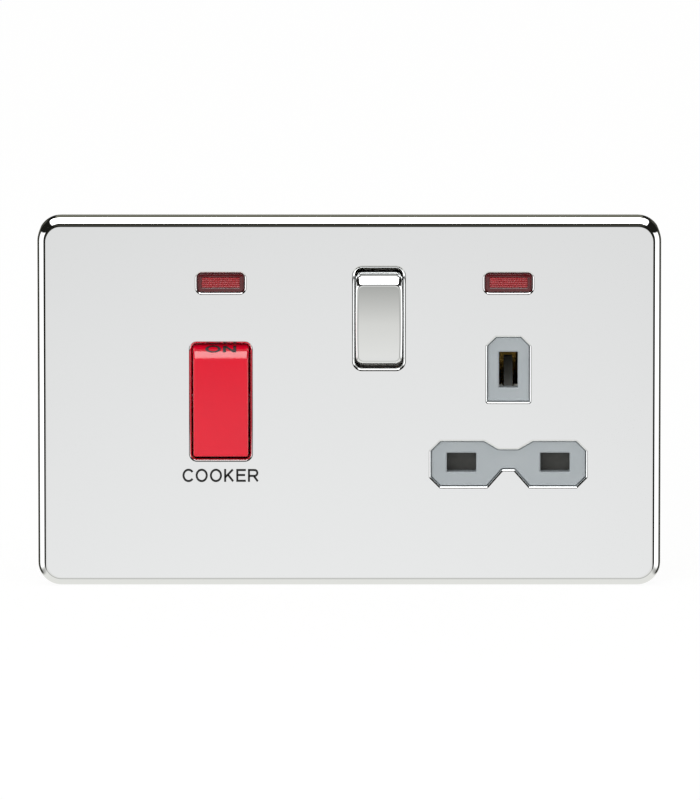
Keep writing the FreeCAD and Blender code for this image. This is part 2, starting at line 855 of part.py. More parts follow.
def make_screws():
    """Slotted pan-head screws: four hold the deck to the yoke and four hold the housing to the deck."""
    runs = {
        "deck_screws": (deck_screw_places(), -dim.seat_gap),
        "housing_screws": (four_places(post_x, post_z), deck_front + dim.housing_screw_length),
    }
    head_front = deck_front - dim.screw_head_height
    slot = (dim.clamp_slot_width, dim.screw_head_radius * 2)
    for label, (places, tip) in runs.items():
        screws = []
        for x, z in places:
            body = doc.addObject("PartDesign::Body", f"{label}_one")
            pad(body, "XZ_Plane", [(add_circle, x, z, dim.screw_head_radius)], head_front, deck_front)
            pad(body, "XZ_Plane", [(add_circle, x, z, dim.screw_radius)], deck_front, tip)
            slot_back = head_front + dim.clamp_slot_depth
            pocket(body, "XZ_Plane", [box(x, z, *slot)], head_front, slot_back)
            screws.append(body)
        group(label, screws)


def earth_hole():
    """The earth pin's hole."""
    return box(outlet_x, dim.earth_pin_z, dim.earth_hole_width, dim.earth_hole_height)


def line_holes():
    """The live and neutral pins' holes."""
    return [box(x, line_z, dim.line_hole_width, dim.line_hole_height) for x in (neutral_pin_x, live_pin_x)]


def place_on(body, switch, axis, turn):
    """Put a piece that is drawn about its pivot on a switch, turned to the ON position."""
    place(body, switch.x, axis, switch.z, turn)


def add_trunnions(body, switch, radius):
    """A pin at each side, run into the cheeks' bearings."""
    root = switch.width / 2 - dim.rocker_wall / 2
    tip = switch.width / 2 + dim.cheek_gauge
    pin = (add_circle, ZERO, ZERO, radius)
    pad(body, "YZ_Plane", [pin], root, tip)
    pad(body, "YZ_Plane", [pin], -tip, -root)


def make_rocker(switch):
    """A hollow rocker with sloping ends and sides, a nose for the plunger and two trunnions."""
    body = new_body(f"{switch.name}_rocker")
    base = box(ZERO, ZERO, switch.width, switch.length)
    face = box(ZERO, ZERO, switch.face_width, switch.face_length)
    lip_back = dim.rocker_lip - dim.rocker_shoulder
    skirt = box(ZERO, ZERO, switch.width, switch.length - dim.rocker_skirt_step * 2)
    pad(body, "XZ_Plane", [base], -dim.rocker_shoulder, lip_back)
    pad(body, "XZ_Plane", [skirt], lip_back, dim.rocker_skirt)
    loft = body.newObject("PartDesign::AdditiveLoft", f"{body.Name}_loft")
    loft.Profile = draw(body, "XZ_Plane", -dim.rocker_shoulder, [base])
    loft.Sections = [draw(body, "XZ_Plane", -switch.rise, [face])]
    loft.Ruled = True
    body.Tip = loft
    shoulder = -dim.rocker_shoulder.value
    fillet(
        body,
        dim.rocker_edge_round,
        lambda edge: edge.BoundBox.YMax < shoulder + 1e-4 and edge.BoundBox.YMin < shoulder - 1e-4,
    )
    ceiling = -(switch.rise - dim.rocker_wall)
    hollow = box(
        ZERO, ZERO, switch.face_width - dim.rocker_wall * 2, switch.face_length - dim.rocker_wall * 2
    )
    pocket(body, "XZ_Plane", [hollow], ceiling, dim.rocker_skirt)
    pad(body, "XZ_Plane", [(add_circle, ZERO, ZERO, dim.nose_radius)], ceiling, dim.nose_reach)
    bore = dim.plunger_radius + dim.bearing_clearance
    pocket(body, "XZ_Plane", [(add_circle, ZERO, ZERO, bore)], bore_floor, dim.nose_reach)
    add_trunnions(body, switch, dim.trunnion_radius)
    place_on(body, switch, rocker_axis, tilt)


# The plunger's and its spring's places along the rocker's nose
plunger_tail = dim.nose_reach - dim.plunger_engagement
bore_floor = plunger_tail - dim.plunger_stroke - dim.plunger_spring_gap - dim.plunger_spring_length
plunger_end = dim.plunger_reach + dim.plunger_tip_radius
plunger_neck = dim.plunger_reach - dim.plunger_head_length


def make_plunger(switch):
    """A sprung pin with a domed head that rolls on the carrier."""
    body = new_body(f"{switch.name}_plunger")
    pad(body, "XZ_Plane", [(add_circle, ZERO, ZERO, dim.plunger_radius)], plunger_tail, plunger_neck)
    pad(body, "XZ_Plane", [(add_circle, ZERO, ZERO, dim.plunger_tip_radius)], plunger_neck, plunger_end)
    dome = dim.plunger_tip_radius - dim.seat_gap
    fillet(body, dome, lambda edge: at_level(edge, "Y", plunger_end.value))
    place_on(body, switch, rocker_axis, tilt)


def make_spring(label, plane, radius, wire, length, turns):
    """A coil spring from the origin along the plane's upright axis."""
    body = new_body(label)
    flat = wire * cosine(dim.wire_flat_angle)
    section = [
        (radius + wire, flat),
        (radius + wire / 2, flat * 2),
        (radius - wire / 2, flat * 2),
        (radius - wire, flat),
        (radius - wire / 2, ZERO),
        (radius + wire / 2, ZERO),
    ]
    profile = draw(body, plane, ZERO, [(add_polygon, section)])
    helix = body.newObject("PartDesign::AdditiveHelix", f"{label}_helix")
    helix.Profile = profile
    helix.ReferenceAxis = (profile, ["V_Axis"])
    helix.Mode = "pitch-height-angle"
    bind(helix, "Pitch", (length - flat * 2) / turns)
    bind(helix, "Height", length - flat * 2)
    body.Tip = helix
    return body


def make_plunger_spring(switch):
    """The spring in the rocker's nose."""
    body = make_spring(
        f"{switch.name}_plunger_spring",
        "XY_Plane",
        dim.plunger_spring_radius,
        dim.plunger_wire_radius,
        dim.plunger_spring_length,
        PLUNGER_SPRING_TURNS,
    )
    place_on(body, switch, rocker_axis + bore_floor * cosine(tilt), tilt)
    bind(body, "Placement.Base.z", switch.z + bore_floor * sine(tilt))


def make_carrier(switch):
    """The rocking contact carrier: a bar with two trunnions."""
    body = new_body(f"{switch.name}_carrier")
    front = dim.carrier_spacing - plunger_end - dim.plunger_gap
    length = (switch.arm + dim.carrier_overhang) * 2
    bar = (add_rounded, ZERO, ZERO, switch.width, length, dim.carrier_corner)
    pad(body, "XZ_Plane", [bar], -front, dim.carrier_back)
    add_trunnions(body, switch, dim.carrier_trunnion_radius)
    place_on(body, switch, carrier_axis, -tilt)


def make_blades(switch):
    """The blades on the carrier's back, and the rivets that close on the fixed ones."""
    rivets = []
    for label, pole in switch.poles.items():
        blade = new_body(label)
        length = (switch.arm + dim.rivet_radius) * 2
        outline = (add_rounded, pole, ZERO, dim.blade_width, length, dim.carrier_corner)
        pad(blade, "XZ_Plane", [outline], dim.carrier_back, blade_back)
        place_on(blade, switch, carrier_axis, -tilt)
        rivet = doc.addObject("PartDesign::Body", f"{label}_rivet")
        button = (add_circle, pole, switch.arm, dim.rivet_radius)
        pad(rivet, "XZ_Plane", [button], blade_back, moving_tip)
        place_on(rivet, switch, carrier_axis, -tilt)
        rivets.append(rivet)
    group(f"{switch.name}_moving_contacts", rivets)


def make_fixed_contacts():
    """The fixed rivets on the strips, one for each pole."""
    cooker, socket = SWITCHES
    spots = [
        (neutral_pole, fixed_touch_z(cooker), cooker_touch),
        (live_pole, fixed_touch_z(cooker), cooker_touch),
        (socket.x, fixed_touch_z(socket), socket_touch),
    ]
    rivets = []
    for x, z, touch in spots:
        rivet = doc.addObject("PartDesign::Body", "fixed_rivet")
        button = (add_circle, x, z, dim.rivet_radius)
        pad(rivet, "XZ_Plane", [button], touch + dim.contact_gap, strip_front)
        rivets.append(rivet)
    group("fixed_contacts", rivets)


def make_strips():
    """The brass strips that join terminals, fixed rivets, saddles and pin contacts."""
    cooker, socket = SWITCHES
    half = dim.strip_width / 2
    top = terminal_top - dim.strip_setback
    foot = fixed_touch_z(cooker) - dim.strip_end
    saddle_half = dim.strip_gauge / 2
    contact_half = dim.contact_gap_width / 2 + dim.contact_gauge

    live = new_body("live_strip")
    run_top = socket.z + saddle_half
    run_foot = run_top - dim.strip_width
    outline = [
        (live_pole - half, foot),
        (live_pole + half, foot),
        (live_pole + half, run_foot),
        (socket.x + half, run_foot),
        (socket.x + half, run_top),
        (live_pole + half, run_top),
        (live_pole + half, top),
        (live_pole - half, top),
    ]
    pad(live, "XZ_Plane", [(add_polygon, outline)], strip_front, strip_back)
    tongue = rectangle(saddle_front, strip_back, socket.z - saddle_half, run_top)
    pad(live, "YZ_Plane", [(add_polygon, tongue)], socket.x - half, socket.x + half)

    neutral = new_body("neutral_strip")
    run_top = foot - dim.strip_spacing
    run_foot = run_top - dim.strip_width
    outline = [
        (neutral_pole - half, run_foot),
        (neutral_pin_x - half, run_foot),
        (neutral_pin_x - half, line_z - contact_half),
        (neutral_pin_x + half, line_z - contact_half),
        (neutral_pin_x + half, run_top),
        (neutral_pole + half, run_top),
        (neutral_pole + half, top),
        (neutral_pole - half, top),
    ]
    pad(neutral, "XZ_Plane", [(add_polygon, outline)], strip_front, strip_back)

    for label, pole in (("load_live_strip", live_pole), ("load_neutral_strip", neutral_pole)):
        load = new_body(label)
        angle = [
            (strip_back, -top),
            (strip_back, cooker.z + saddle_half),
            (saddle_front, cooker.z + saddle_half),
            (saddle_front, cooker.z - saddle_half),
            (strip_front, cooker.z - saddle_half),
            (strip_front, -top),
        ]
        pad(load, "YZ_Plane", [(add_polygon, angle)], pole - half, pole + half)

    switched = new_body("socket_live_strip")
    middle = fixed_touch_z(socket)
    outline = [
        (socket.x - half, middle - half),
        (live_pin_x - half, middle - half),
        (live_pin_x - half, line_z - contact_half),
        (live_pin_x + half, line_z - contact_half),
        (live_pin_x + half, middle + half),
        (socket.x - half, middle + half),
    ]
    pad(switched, "XZ_Plane", [(add_polygon, outline)], strip_front, strip_back)

    earth = new_body("earth_strip")
    outline = [
        (outlet_x + half, dim.earth_pin_z + dim.earth_contact_width / 2),
        (outlet_x - half, dim.earth_pin_z + dim.earth_contact_width / 2),
        (outlet_x - half, half - terminal_z),
        (earth_terminal_x - half, half - terminal_z),
        (earth_terminal_x - half, -terminal_z - half),
        (outlet_x + half, -terminal_z - half),
    ]
    pad(earth, "XZ_Plane", [(add_polygon, outline)], strip_front, strip_back)


def make_terminals():
    """Brass pillar terminals with a cable bore, each with a slotted clamp screw backed clear of it."""
    screws = []
    screw_tip = bore_y + dim.terminal_bore_radius + dim.clamp_screw_backed_out
    screw_end = screw_tip + dim.clamp_screw_length
    for label, (x, z) in terminal_places().items():
        body = new_body(label)
        block = box(x, z, dim.terminal_width, dim.terminal_height)
        pad(body, "XZ_Plane", [block], strip_back, floor_front)
        fillet(body, dim.terminal_edge_round, lambda edge: along(edge, "y"))
        bore = (add_circle, x, bore_y, dim.terminal_bore_radius)
        low = z - dim.terminal_height / 2
        pocket(body, "XY_Plane", [bore], low, low + dim.terminal_height)
        thread = (add_circle, x, z, dim.clamp_screw_radius + dim.thread_clearance)
        pocket(body, "XZ_Plane", [thread], bore_y, floor_front)
        screw = doc.addObject("PartDesign::Body", "clamp_screw")
        pad(screw, "XZ_Plane", [(add_circle, x, z, dim.clamp_screw_radius)], screw_tip, screw_end)
        slot = box(x, z, dim.clamp_screw_radius * 2, dim.clamp_slot_width)
        pocket(screw, "XZ_Plane", [slot], screw_end - dim.clamp_slot_depth, screw_end)
        screws.append(screw)
    group("terminal_screws", screws)


def clip_profile(middle):
    """A spring clip's section as depth and offset: two leaves with flared mouths on a base."""
    inner = dim.contact_gap_width / 2
    outer = inner + dim.contact_gauge
    throat = dim.contact_mouth + dim.contact_flare_length
    leaf = [
        (strip_front - dim.contact_base_gauge, inner),
        (throat, inner),
        (dim.contact_mouth, inner + dim.contact_flare),
        (dim.contact_mouth, outer + dim.contact_flare),
        (throat, outer),
        (strip_front, outer),
    ]
    upper = [(depth, middle + offset) for depth, offset in leaf]
    lower = [(depth, middle - offset) for depth, offset in reversed(leaf)]
    return upper + lower


def make_pin_contacts():
    """The clips that grip the plug's pins."""
    for label, x in (("live_contact", live_pin_x), ("neutral_contact", neutral_pin_x)):
        half = dim.line_contact_width / 2
        pad(new_body(label), "YZ_Plane", [(add_polygon, clip_profile(line_z))], x - half, x + half)
    half = dim.earth_contact_width / 2
    section = [(x, depth) for depth, x in clip_profile(outlet_x)]
    low = dim.earth_pin_z - half
    pad(new_body("earth_contact"), "XY_Plane", [(add_polygon, section)], low, low + half * 2)


def make_insert():
    """The grey moulding behind the socket's cut-outs, with the three pin holes."""
    body = new_body("socket_insert")
    margin = dim.insert_margin
    stem = dim.earth_cutout_width / 2 + margin
    wing = dim.line_cutout_width / 2 + margin
    shoulder = line_z + dim.line_cutout_height / 2 + margin
    wing_foot = line_z - dim.line_cutout_height / 2 - margin
    foot = wing_foot - dim.insert_foot
    foot_half = post_x - outlet_x - dim.screw_head_radius - dim.insert_screw_gap
    crown = dim.earth_pin_z + dim.earth_cutout_height / 2 + margin
    outline = mirrored_points(
        [
            (foot_half, foot),
            (foot_half, wing_foot),
            (wing, wing_foot),
            (wing, shoulder),
            (stem, shoulder),
            (stem, crown),
        ]
    )
    pad(body, "XZ_Plane", [outline], plate_back, deck_front)
    pocket(body, "XZ_Plane", [earth_hole(), *line_holes()], plate_back, deck_front)


def make_shutter():
    """The sliding shutter, whose slanted ramp the earth pin pushes down, and its return spring."""
    body = new_body("shutter")
    stem_top = ramp_foot
    pad(body, "XZ_Plane", [shutter_tee(ZERO, ZERO, stem_top)], shutter_front, shutter_back)
    ramp = [
        (shutter_front, ramp_foot),
        (shutter_front + dim.shutter_ramp_depth, ramp_top),
        (shutter_back + dim.shutter_ramp_depth, ramp_top),
        (shutter_back, ramp_foot),
    ]
    half = dim.shutter_ramp_width / 2
    pad(body, "YZ_Plane", [(add_polygon, ramp)], outlet_x - half, outlet_x + half)
    spring = make_spring(
        "shutter_spring",
        "XZ_Plane",
        dim.shutter_spring_radius,
        dim.shutter_wire_radius,
        dim.shutter_spring_length,
        SHUTTER_SPRING_TURNS,
    )
    place(spring, outlet_x, (shutter_front + shutter_back) / 2, spring_foot)


def make_neon(name, x):
    """A ribbed lens on the deck, the lamp in the deck's window and its resistor behind."""
    lens = new_body(f"{name}_neon_lens")
    width = dim.neon_aperture_width - dim.lens_clearance * 2
    height = dim.neon_aperture_height - dim.lens_clearance * 2
    corner = dim.neon_aperture_corner - dim.lens_clearance
    front = plate_front + dim.lens_setback
    floor = front + dim.lens_recess
    pad(lens, "XZ_Plane", [(add_rounded, x, neon_z, width, height, corner)], front, deck_front)
    flange = box(x, neon_z, width + dim.lens_flange * 2, height + dim.lens_flange * 2)
    pad(lens, "XZ_Plane", [flange], plate_back + dim.lens_clearance, deck_front)
    window = box(x, neon_z, dim.lens_window_width, dim.lens_window_height)
    pocket(lens, "XZ_Plane", [window], front, floor)
    pitch = dim.lens_window_height / LENS_RIBS
    ribs = []
    for index in range(LENS_RIBS):
        rib_z = neon_z - dim.lens_window_height / 2 + pitch * (index + 0.5)
        ribs.append(box(x, rib_z, dim.lens_window_width, pitch - dim.lens_rib_gap))
    pad(lens, "XZ_Plane", ribs, floor - dim.lens_rib_height, floor)
    wall = dim.lens_wall
    hollow = box(x, neon_z, width - wall * 2, height - wall * 2)
    pocket(lens, "XZ_Plane", [hollow], floor + wall, deck_front)

    lamp = new_body(f"{name}_neon_lamp")
    half = dim.lamp_length / 2
    neck = dim.lamp_radius / 2
    glass = [
        (-half, ZERO),
        (-half, dim.lamp_radius),
        (half - dim.lamp_tip, dim.lamp_radius),
        (half, neck),
        (half, ZERO),
    ]
    revolve(lamp, glass, "X", "XY_Plane")
    place(lamp, x, deck_front + dim.lamp_radius, neon_z)

    resistor = new_body(f"{name}_neon_resistor")
    half = dim.resistor_length / 2
    tip = half + dim.resistor_lead_length
    lead = dim.resistor_lead_radius
    upper = [(-tip, ZERO), (-tip, lead), (-half, lead), (-half, dim.resistor_radius)]
    outline = upper + [(-u, v) for u, v in reversed(upper)]
    revolve(resistor, outline, "X", "XY_Plane")
    seat = yoke_front + dim.resistor_radius + dim.seat_gap
    place(resistor, x, seat, neon_z - dim.resistor_drop)


def check_document():
    """Stop if any object failed or any sub-part's shape is missing or broken."""
    doc.recompute()
    for item in doc.Objects:
        if "Invalid" in item.State or "Error" in item.State:
            raise RuntimeError(f"{item.Label} failed: {item.State}")
    for item in nodes:
        if item.Shape.isNull() or not item.Shape.isValid() or not item.Shape.Solids:
            raise RuntimeError(f"{item.Label} has no valid solid")


def write_parts():
    """Write each sub-part to a file of its own name."""
    os.makedirs("parts", exist_ok=True)
    for item in nodes:
        item.Shape.exportStep(f"parts/{item.Label}.step")
        print(f"{item.Label}: {len(item.Shape.Solids)} solid(s), {item.Shape.Volume:.1f} mm3")


make_front_plate()
make_yoke()
make_deck()
make_housing()
make_screws()
for each_switch in SWITCHES:
    make_rocker(each_switch)
    make_plunger(each_switch)
    make_plunger_spring(each_switch)
    make_carrier(each_switch)
    make_blades(each_switch)
make_fixed_contacts()
make_strips()
make_terminals()
make_pin_contacts()
make_insert()
make_shutter()
make_neon("cooker", cooker_x)
make_neon("socket", outlet_x)
check_document()
write_parts()
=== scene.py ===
"""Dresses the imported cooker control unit: plate, rockers, socket front, lenses and print.

Sizes are millimetres unless a name says otherwise. The front faces -Y, +Z is up, and the wall
plane is y = 0.
"""
from __future__ import annotations

import json
import logging
import math
from dataclasses import dataclass, field
from enum import Enum
from typing import Any, Callable, Iterable, Sequence

import bmesh
import bpy
from mathutils import Matrix, Vector
from mathutils.geometry import tessellate_polygon

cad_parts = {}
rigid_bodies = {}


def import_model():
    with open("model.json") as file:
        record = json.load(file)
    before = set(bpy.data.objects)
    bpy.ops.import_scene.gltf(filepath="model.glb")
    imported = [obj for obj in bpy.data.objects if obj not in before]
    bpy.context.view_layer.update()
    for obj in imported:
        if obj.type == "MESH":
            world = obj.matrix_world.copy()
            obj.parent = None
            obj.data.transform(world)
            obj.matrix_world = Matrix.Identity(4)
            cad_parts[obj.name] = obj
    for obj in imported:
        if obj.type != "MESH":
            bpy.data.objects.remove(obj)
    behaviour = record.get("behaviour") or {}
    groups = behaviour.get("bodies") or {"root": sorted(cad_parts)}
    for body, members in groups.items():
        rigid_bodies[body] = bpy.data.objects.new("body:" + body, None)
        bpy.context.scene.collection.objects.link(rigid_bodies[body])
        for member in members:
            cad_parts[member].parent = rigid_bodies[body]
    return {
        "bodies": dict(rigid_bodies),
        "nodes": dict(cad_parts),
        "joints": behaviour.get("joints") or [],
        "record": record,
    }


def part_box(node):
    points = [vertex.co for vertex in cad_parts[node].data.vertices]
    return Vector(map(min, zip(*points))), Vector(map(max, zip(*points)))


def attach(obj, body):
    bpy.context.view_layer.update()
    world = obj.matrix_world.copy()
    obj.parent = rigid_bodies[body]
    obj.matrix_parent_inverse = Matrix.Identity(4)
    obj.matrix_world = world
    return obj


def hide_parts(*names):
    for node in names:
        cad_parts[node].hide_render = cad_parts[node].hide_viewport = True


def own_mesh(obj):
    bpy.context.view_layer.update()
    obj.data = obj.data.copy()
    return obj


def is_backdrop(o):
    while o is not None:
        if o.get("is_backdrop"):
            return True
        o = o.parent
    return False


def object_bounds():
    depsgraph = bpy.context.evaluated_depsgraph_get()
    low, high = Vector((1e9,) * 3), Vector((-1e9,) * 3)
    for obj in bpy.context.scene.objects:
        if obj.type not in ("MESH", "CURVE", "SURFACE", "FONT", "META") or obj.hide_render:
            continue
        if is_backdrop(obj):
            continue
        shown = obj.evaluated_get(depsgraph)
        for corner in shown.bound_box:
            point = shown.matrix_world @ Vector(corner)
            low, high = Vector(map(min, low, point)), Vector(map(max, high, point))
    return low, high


LOG = logging.getLogger("cooker_unit")
MM = 0.001
# Two points this near are one
SAME_POINT = 1e-6
# The least cosine that a corner's outward shift is divided by
SHARPEST = 0.3

Loop = list[tuple[float, float]]
Depth = float | Callable[[float, float], float]
Size = tuple[float, float]
Level = tuple[Loop, Depth]
Ring = Sequence[int]
Piece, Tree = bpy.types.Object, bpy.types.NodeTree
Node, Socket = bpy.types.Node, bpy.types.NodeSocket


class Body(Enum):
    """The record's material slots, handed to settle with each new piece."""

    UNIT = "unit"
    COOKER_ROCKER = "cooker_rocker"
    SOCKET_ROCKER = "socket_rocker"


class Slot(Enum):
    """The record's material slots that new pieces take their finish from."""

    CHROME = "chrome_plate"
    CHROME_ROCKER = "chrome_rocker"
    RED = "red_plastic"
    GREY = "grey_plastic"
    DARK = "dark_plastic"
    LENS = "red_lens"
    SPRING = "spring_steel"


class Axis(Enum):
    """The axes that turned forms stand on."""

    X = 0
    Y = 1


# Colours and nodes


def linear(colour: str) -> tuple[float, float, float, float]:
    """Turns an sRGB hex colour to linear.

    Args:
        colour: the colour as #RRGGBB.

    Returns:
        Linear red, green and blue, and an alpha of 1.
    """
    levels = [int(colour[start : start + 2], 16) / 255 for start in (1, 3, 5)]
    red, green, blue = (v / 12.92 if v <= 0.04045 else ((v + 0.055) / 1.055) ** 2.4 for v in levels)
    return red, green, blue, 1.0


def per_metre(size: float) -> float:
    """How many cells of a pattern lie in a metre, for cells of a size in millimetres."""
    return 1.0 / (size * MM)


def add_node(tree: Tree, kind: str, inputs: dict[Any, Any] | None = None, **settings: Any) -> Node:
    """Adds a node with its settings, and gives its inputs their values and links.

    Args:
        tree: the node tree.
        kind: the node's type.
        inputs: by input, a constant value, or the socket or the node that feeds it. A node
            stands for its first output.
        **settings: the node's own properties.

    Returns:
        The new node.
    """
    node = tree.nodes.new(kind)
    for name, value in settings.items():
        setattr(node, name, value)
    for name, value in (inputs or {}).items():
        source = value.outputs[0] if isinstance(value, Node) else value
        if isinstance(source, Socket):
            tree.links.new(source, node.inputs[name])
        else:
            node.inputs[name].default_value = source
    return node


def set_stops(node: Node, stops: Sequence[tuple[float, str]]) -> None:
    """Gives a colour ramp its stops.

    Args:
        node: the colour ramp.
        stops: places from 0 to 1 with their sRGB hex colours, in order.
    """
    elements = node.color_ramp.elements
    while len(elements) > 1:
        elements.remove(elements[-1])
    for index, (place, colour) in enumerate(stops):
        element = elements[0] if index == 0 else elements.new(place)
        element.position = place
        element.color = linear(colour)


def blank_tree(owner: bpy.types.Material | bpy.types.World) -> Tree:
    """Gives a new material or world an empty node tree.

    Args:
        owner: the material or the world.

    Returns:
        Its nodes.
    """
    owner.use_nodes = True
    owner.node_tree.nodes.clear()
    return owner.node_tree


# The colour sockets of the mix node, which has one set of sockets for each kind of data
MIX_FACTOR, MIX_A, MIX_B, MIX_RESULT = 0, 6, 7, 2
# The limits that the map range node takes
SPAN = ("From Min", "From Max", "To Min", "To Max")


# Finishes


# The span of the noise's values that holds most of a surface
NOISE_SPAN = (0.4, 0.75)


@dataclass(frozen=True)
class Pattern:
    """A noise over a surface and what it moves: the colour, the roughness or the relief.

    The size is a cell's breadth, or its breadths along x, y and z.
    """

    size: float | tuple[float, float, float]
    detail: float
    tint: str = ""
    rough: float = 0.0
    height: float = 0.0
    more: dict[str, float] = field(default_factory=dict)

    def add(self, tree: Tree, shader: Node, finish: Finish) -> None:
        """Adds the noise and links it to what it moves.

        Args:
            tree: the material's nodes.
            shader: its principled shader.
            finish: the finish that the pattern starts from.
        """
        place = add_node(tree, "ShaderNodeTexCoord").outputs["Object"]
        scale = 1.0
        if isinstance(self.size, tuple):
            stretch = tuple(per_metre(size) for size in self.size)
            placed = add_node(tree, "ShaderNodeMapping", {"Vector": place, "Scale": stretch})
            place = placed.outputs["Vector"]
        else:
            scale = per_metre(self.size)
        cells = {"Vector": place, "Scale": scale, "Detail": self.detail, **self.more}
        noise = add_node(tree, "ShaderNodeTexNoise", cells).outputs["Fac"]
        if self.tint:
            colours = {MIX_FACTOR: noise, MIX_A: linear(finish.colour), MIX_B: linear(self.tint)}
            mixed = add_node(tree, "ShaderNodeMix", colours, data_type="RGBA")
            tree.links.new(mixed.outputs[MIX_RESULT], shader.inputs["Base Color"])
        if self.rough:
            span = dict(zip(SPAN, (*NOISE_SPAN, finish.roughness, self.rough)))
            gloss = add_node(tree, "ShaderNodeMapRange", {"Value": noise, **span})
            tree.links.new(gloss.outputs["Result"], shader.inputs["Roughness"])
        if self.height:
            relief = {"Height": noise, "Strength": 1.0, "Distance": self.height * MM}
            bump = add_node(tree, "ShaderNodeBump", relief)
            tree.links.new(bump.outputs["Normal"], shader.inputs["Normal"])


@dataclass(frozen=True)
class Finish:
    """A surface as it was made, which becomes one node material."""

    name: str
    colour: str
    roughness: float

    def values(self) -> dict[str, float]:
        """The shader's values beside its colour and roughness."""
        return {}

    def patterns(self) -> tuple[Pattern, ...]:
        """What varies over the surface."""
        return ()

    def material(self) -> bpy.types.Material:
        """Makes the material, or finds the one made before.

        Returns:
            The material.
        """
        made = bpy.data.materials.get(self.name)
        if made is not None:
            return made
        made = bpy.data.materials.new(self.name)
        tree = blank_tree(made)
        values = {"Base Color": linear(self.colour), "Roughness": self.roughness, **self.values()}
        shader = add_node(tree, "ShaderNodeBsdfPrincipled", values)
        add_node(tree, "ShaderNodeOutputMaterial", {"Surface": shader.outputs["BSDF"]})
        self.dress(tree, shader)
        return made

    def dress(self, tree: Tree, shader: Node) -> None:
        """Adds the finish's patterns to the shader."""
        for pattern in self.patterns():
            pattern.add(tree, shader, self)


@dataclass(frozen=True)
class ChromePlating(Finish):
    """Bright chrome, electroplated and buffed: a mirror with faint smears and a slow ripple."""

    smear: float = 16.0
    smeared_roughness: float = 0.05
    ripple: float = 26.0
    ripple_height: float = 0.004

    def values(self) -> dict[str, float]:
        """A bare metal."""
        return {"Metallic": 1.0}

    def patterns(self) -> tuple[Pattern, ...]:
        """The smears of wiping and the ripple of the pressing."""
        bent = {"Distortion": 0.6}
        smears = Pattern(self.smear, detail=5.0, rough=self.smeared_roughness, more=bent)
        return smears, Pattern(self.ripple, detail=0.0, height=self.ripple_height)


@dataclass(frozen=True)
class MouldedPlastic(Finish):
    """A moulded thermoplastic: flow clouds in its colour, and the mould's fine texture."""

    cloud_colour: str = "#808080"
    cloud: float = 9.0
    # A mould's grain is a few hundredths of a millimetre: drawn coarser, so that it shows
    grain: float = 0.25
    grain_height: float = 0.004
    worn_roughness: float = 0.5
    coat: float = 0.0
    coat_roughness: float = 0.06
    ior: float = 1.5

    def values(self) -> dict[str, float]:
        """The skin's shine."""
        return {"IOR": self.ior, "Coat Weight": self.coat, "Coat Roughness": self.coat_roughness}

    def patterns(self) -> tuple[Pattern, ...]:
        """The clouds and the texture."""
        wear = {"tint": self.cloud_colour, "rough": self.worn_roughness}
        clouds = Pattern(self.cloud, detail=3.0, **wear)
        return clouds, Pattern(self.grain, detail=2.0, height=self.grain_height)


@dataclass(frozen=True)
class WorkedMetal(Finish):
    """A rolled, drawn or turned metal: long working lines, and tarnish that gathers in patches."""

    tarnish: str = "#6A5A3A"
    patch: float = 5.0
    # Working lines are a few hundredths of a millimetre apart: drawn coarser, so that they show
    line: tuple[float, float, float] = (6.0, 0.2, 0.2)
    line_height: float = 0.003
    dull_roughness: float = 0.5

    def values(self) -> dict[str, float]:
        """A bare metal."""
        return {"Metallic": 1.0}

    def patterns(self) -> tuple[Pattern, ...]:
        """The tarnish and the lines that working left."""
        broken = {"Roughness": 0.6}
        patches = Pattern(self.patch, detail=4.0, tint=self.tarnish, more=broken)
        worked = {"rough": self.dull_roughness, "height": self.line_height}
        return patches, Pattern(self.line, detail=2.0, **worked)


@dataclass(frozen=True)
class TintedLens(Finish):
    """A clear tinted moulding, polished outside: light goes into it and comes back red."""

    deep_colour: str = "#300A0C"
    streak: float = 1.2
    transmission: float = 0.25
    ior: float = 1.58

    def values(self) -> dict[str, float]:
        """A clear body."""
        return {"IOR": self.ior, "Transmission Weight": self.transmission}

    def patterns(self) -> tuple[Pattern, ...]:
        """The tint's depth and the flow streaks."""
        depth = {"tint": self.deep_colour, "rough": self.roughness * 2}
        return (Pattern(self.streak, detail=3.0, **depth),)


@dataclass(frozen=True)
class BlownGlass(Finish):
    """Thin clear glass with a breath of soot inside, as small discharge lamps have."""

    soot: float = 2.0
    sooty_roughness: float = 0.25
    transmission: float = 0.9
    ior: float = 1.47

    def values(self) -> dict[str, float]:
        """A clear body."""
        return {"IOR": self.ior, "Transmission Weight": self.transmission}

    def patterns(self) -> tuple[Pattern, ...]:
        """The soot."""
        return (Pattern(self.soot, detail=2.0, rough=self.sooty_roughness),)


@dataclass(frozen=True)
class BandedLacquer(Finish):
    """A lacquered resistor with painted rings round it, and bare tinned leads at its ends."""

    leads: str = "#C8C8C4"
    body: tuple[float, float] = (0.22, 0.78)
    rings: tuple[tuple[float, str], ...] = ((0.3, "#7A3B16"), (0.44, "#1A1A1A"), (0.58, "#D6A52A"))
    ring_width: float = 0.06

    def dress(self, tree: Tree, shader: Node) -> None:
        """Paints the rings along the resistor.

        Args:
            tree: the material's nodes.
            shader: its principled shader.
        """
        stops = [(0.0, self.leads), (self.body[0], self.colour)]
        for start, paint in self.rings:
            stops += [(start, paint), (start + self.ring_width, self.colour)]
        stops.append((self.body[1], self.leads))
        place = add_node(tree, "ShaderNodeTexCoord")
        along = add_node(tree, "ShaderNodeSeparateXYZ", {0: place.outputs["Generated"]})
        rings = add_node(tree, "ShaderNodeValToRGB", {"Fac": along.outputs["X"]})
        rings.color_ramp.interpolation = "CONSTANT"
        set_stops(rings, stops)
        tree.links.new(rings.outputs["Color"], shader.inputs["Base Color"])


# Polished chrome on pressed steel: a clean mirror, so its look is what it reflects
CHROME = ChromePlating("polished_chrome_on_steel", "#EDEEEE", 0.015)
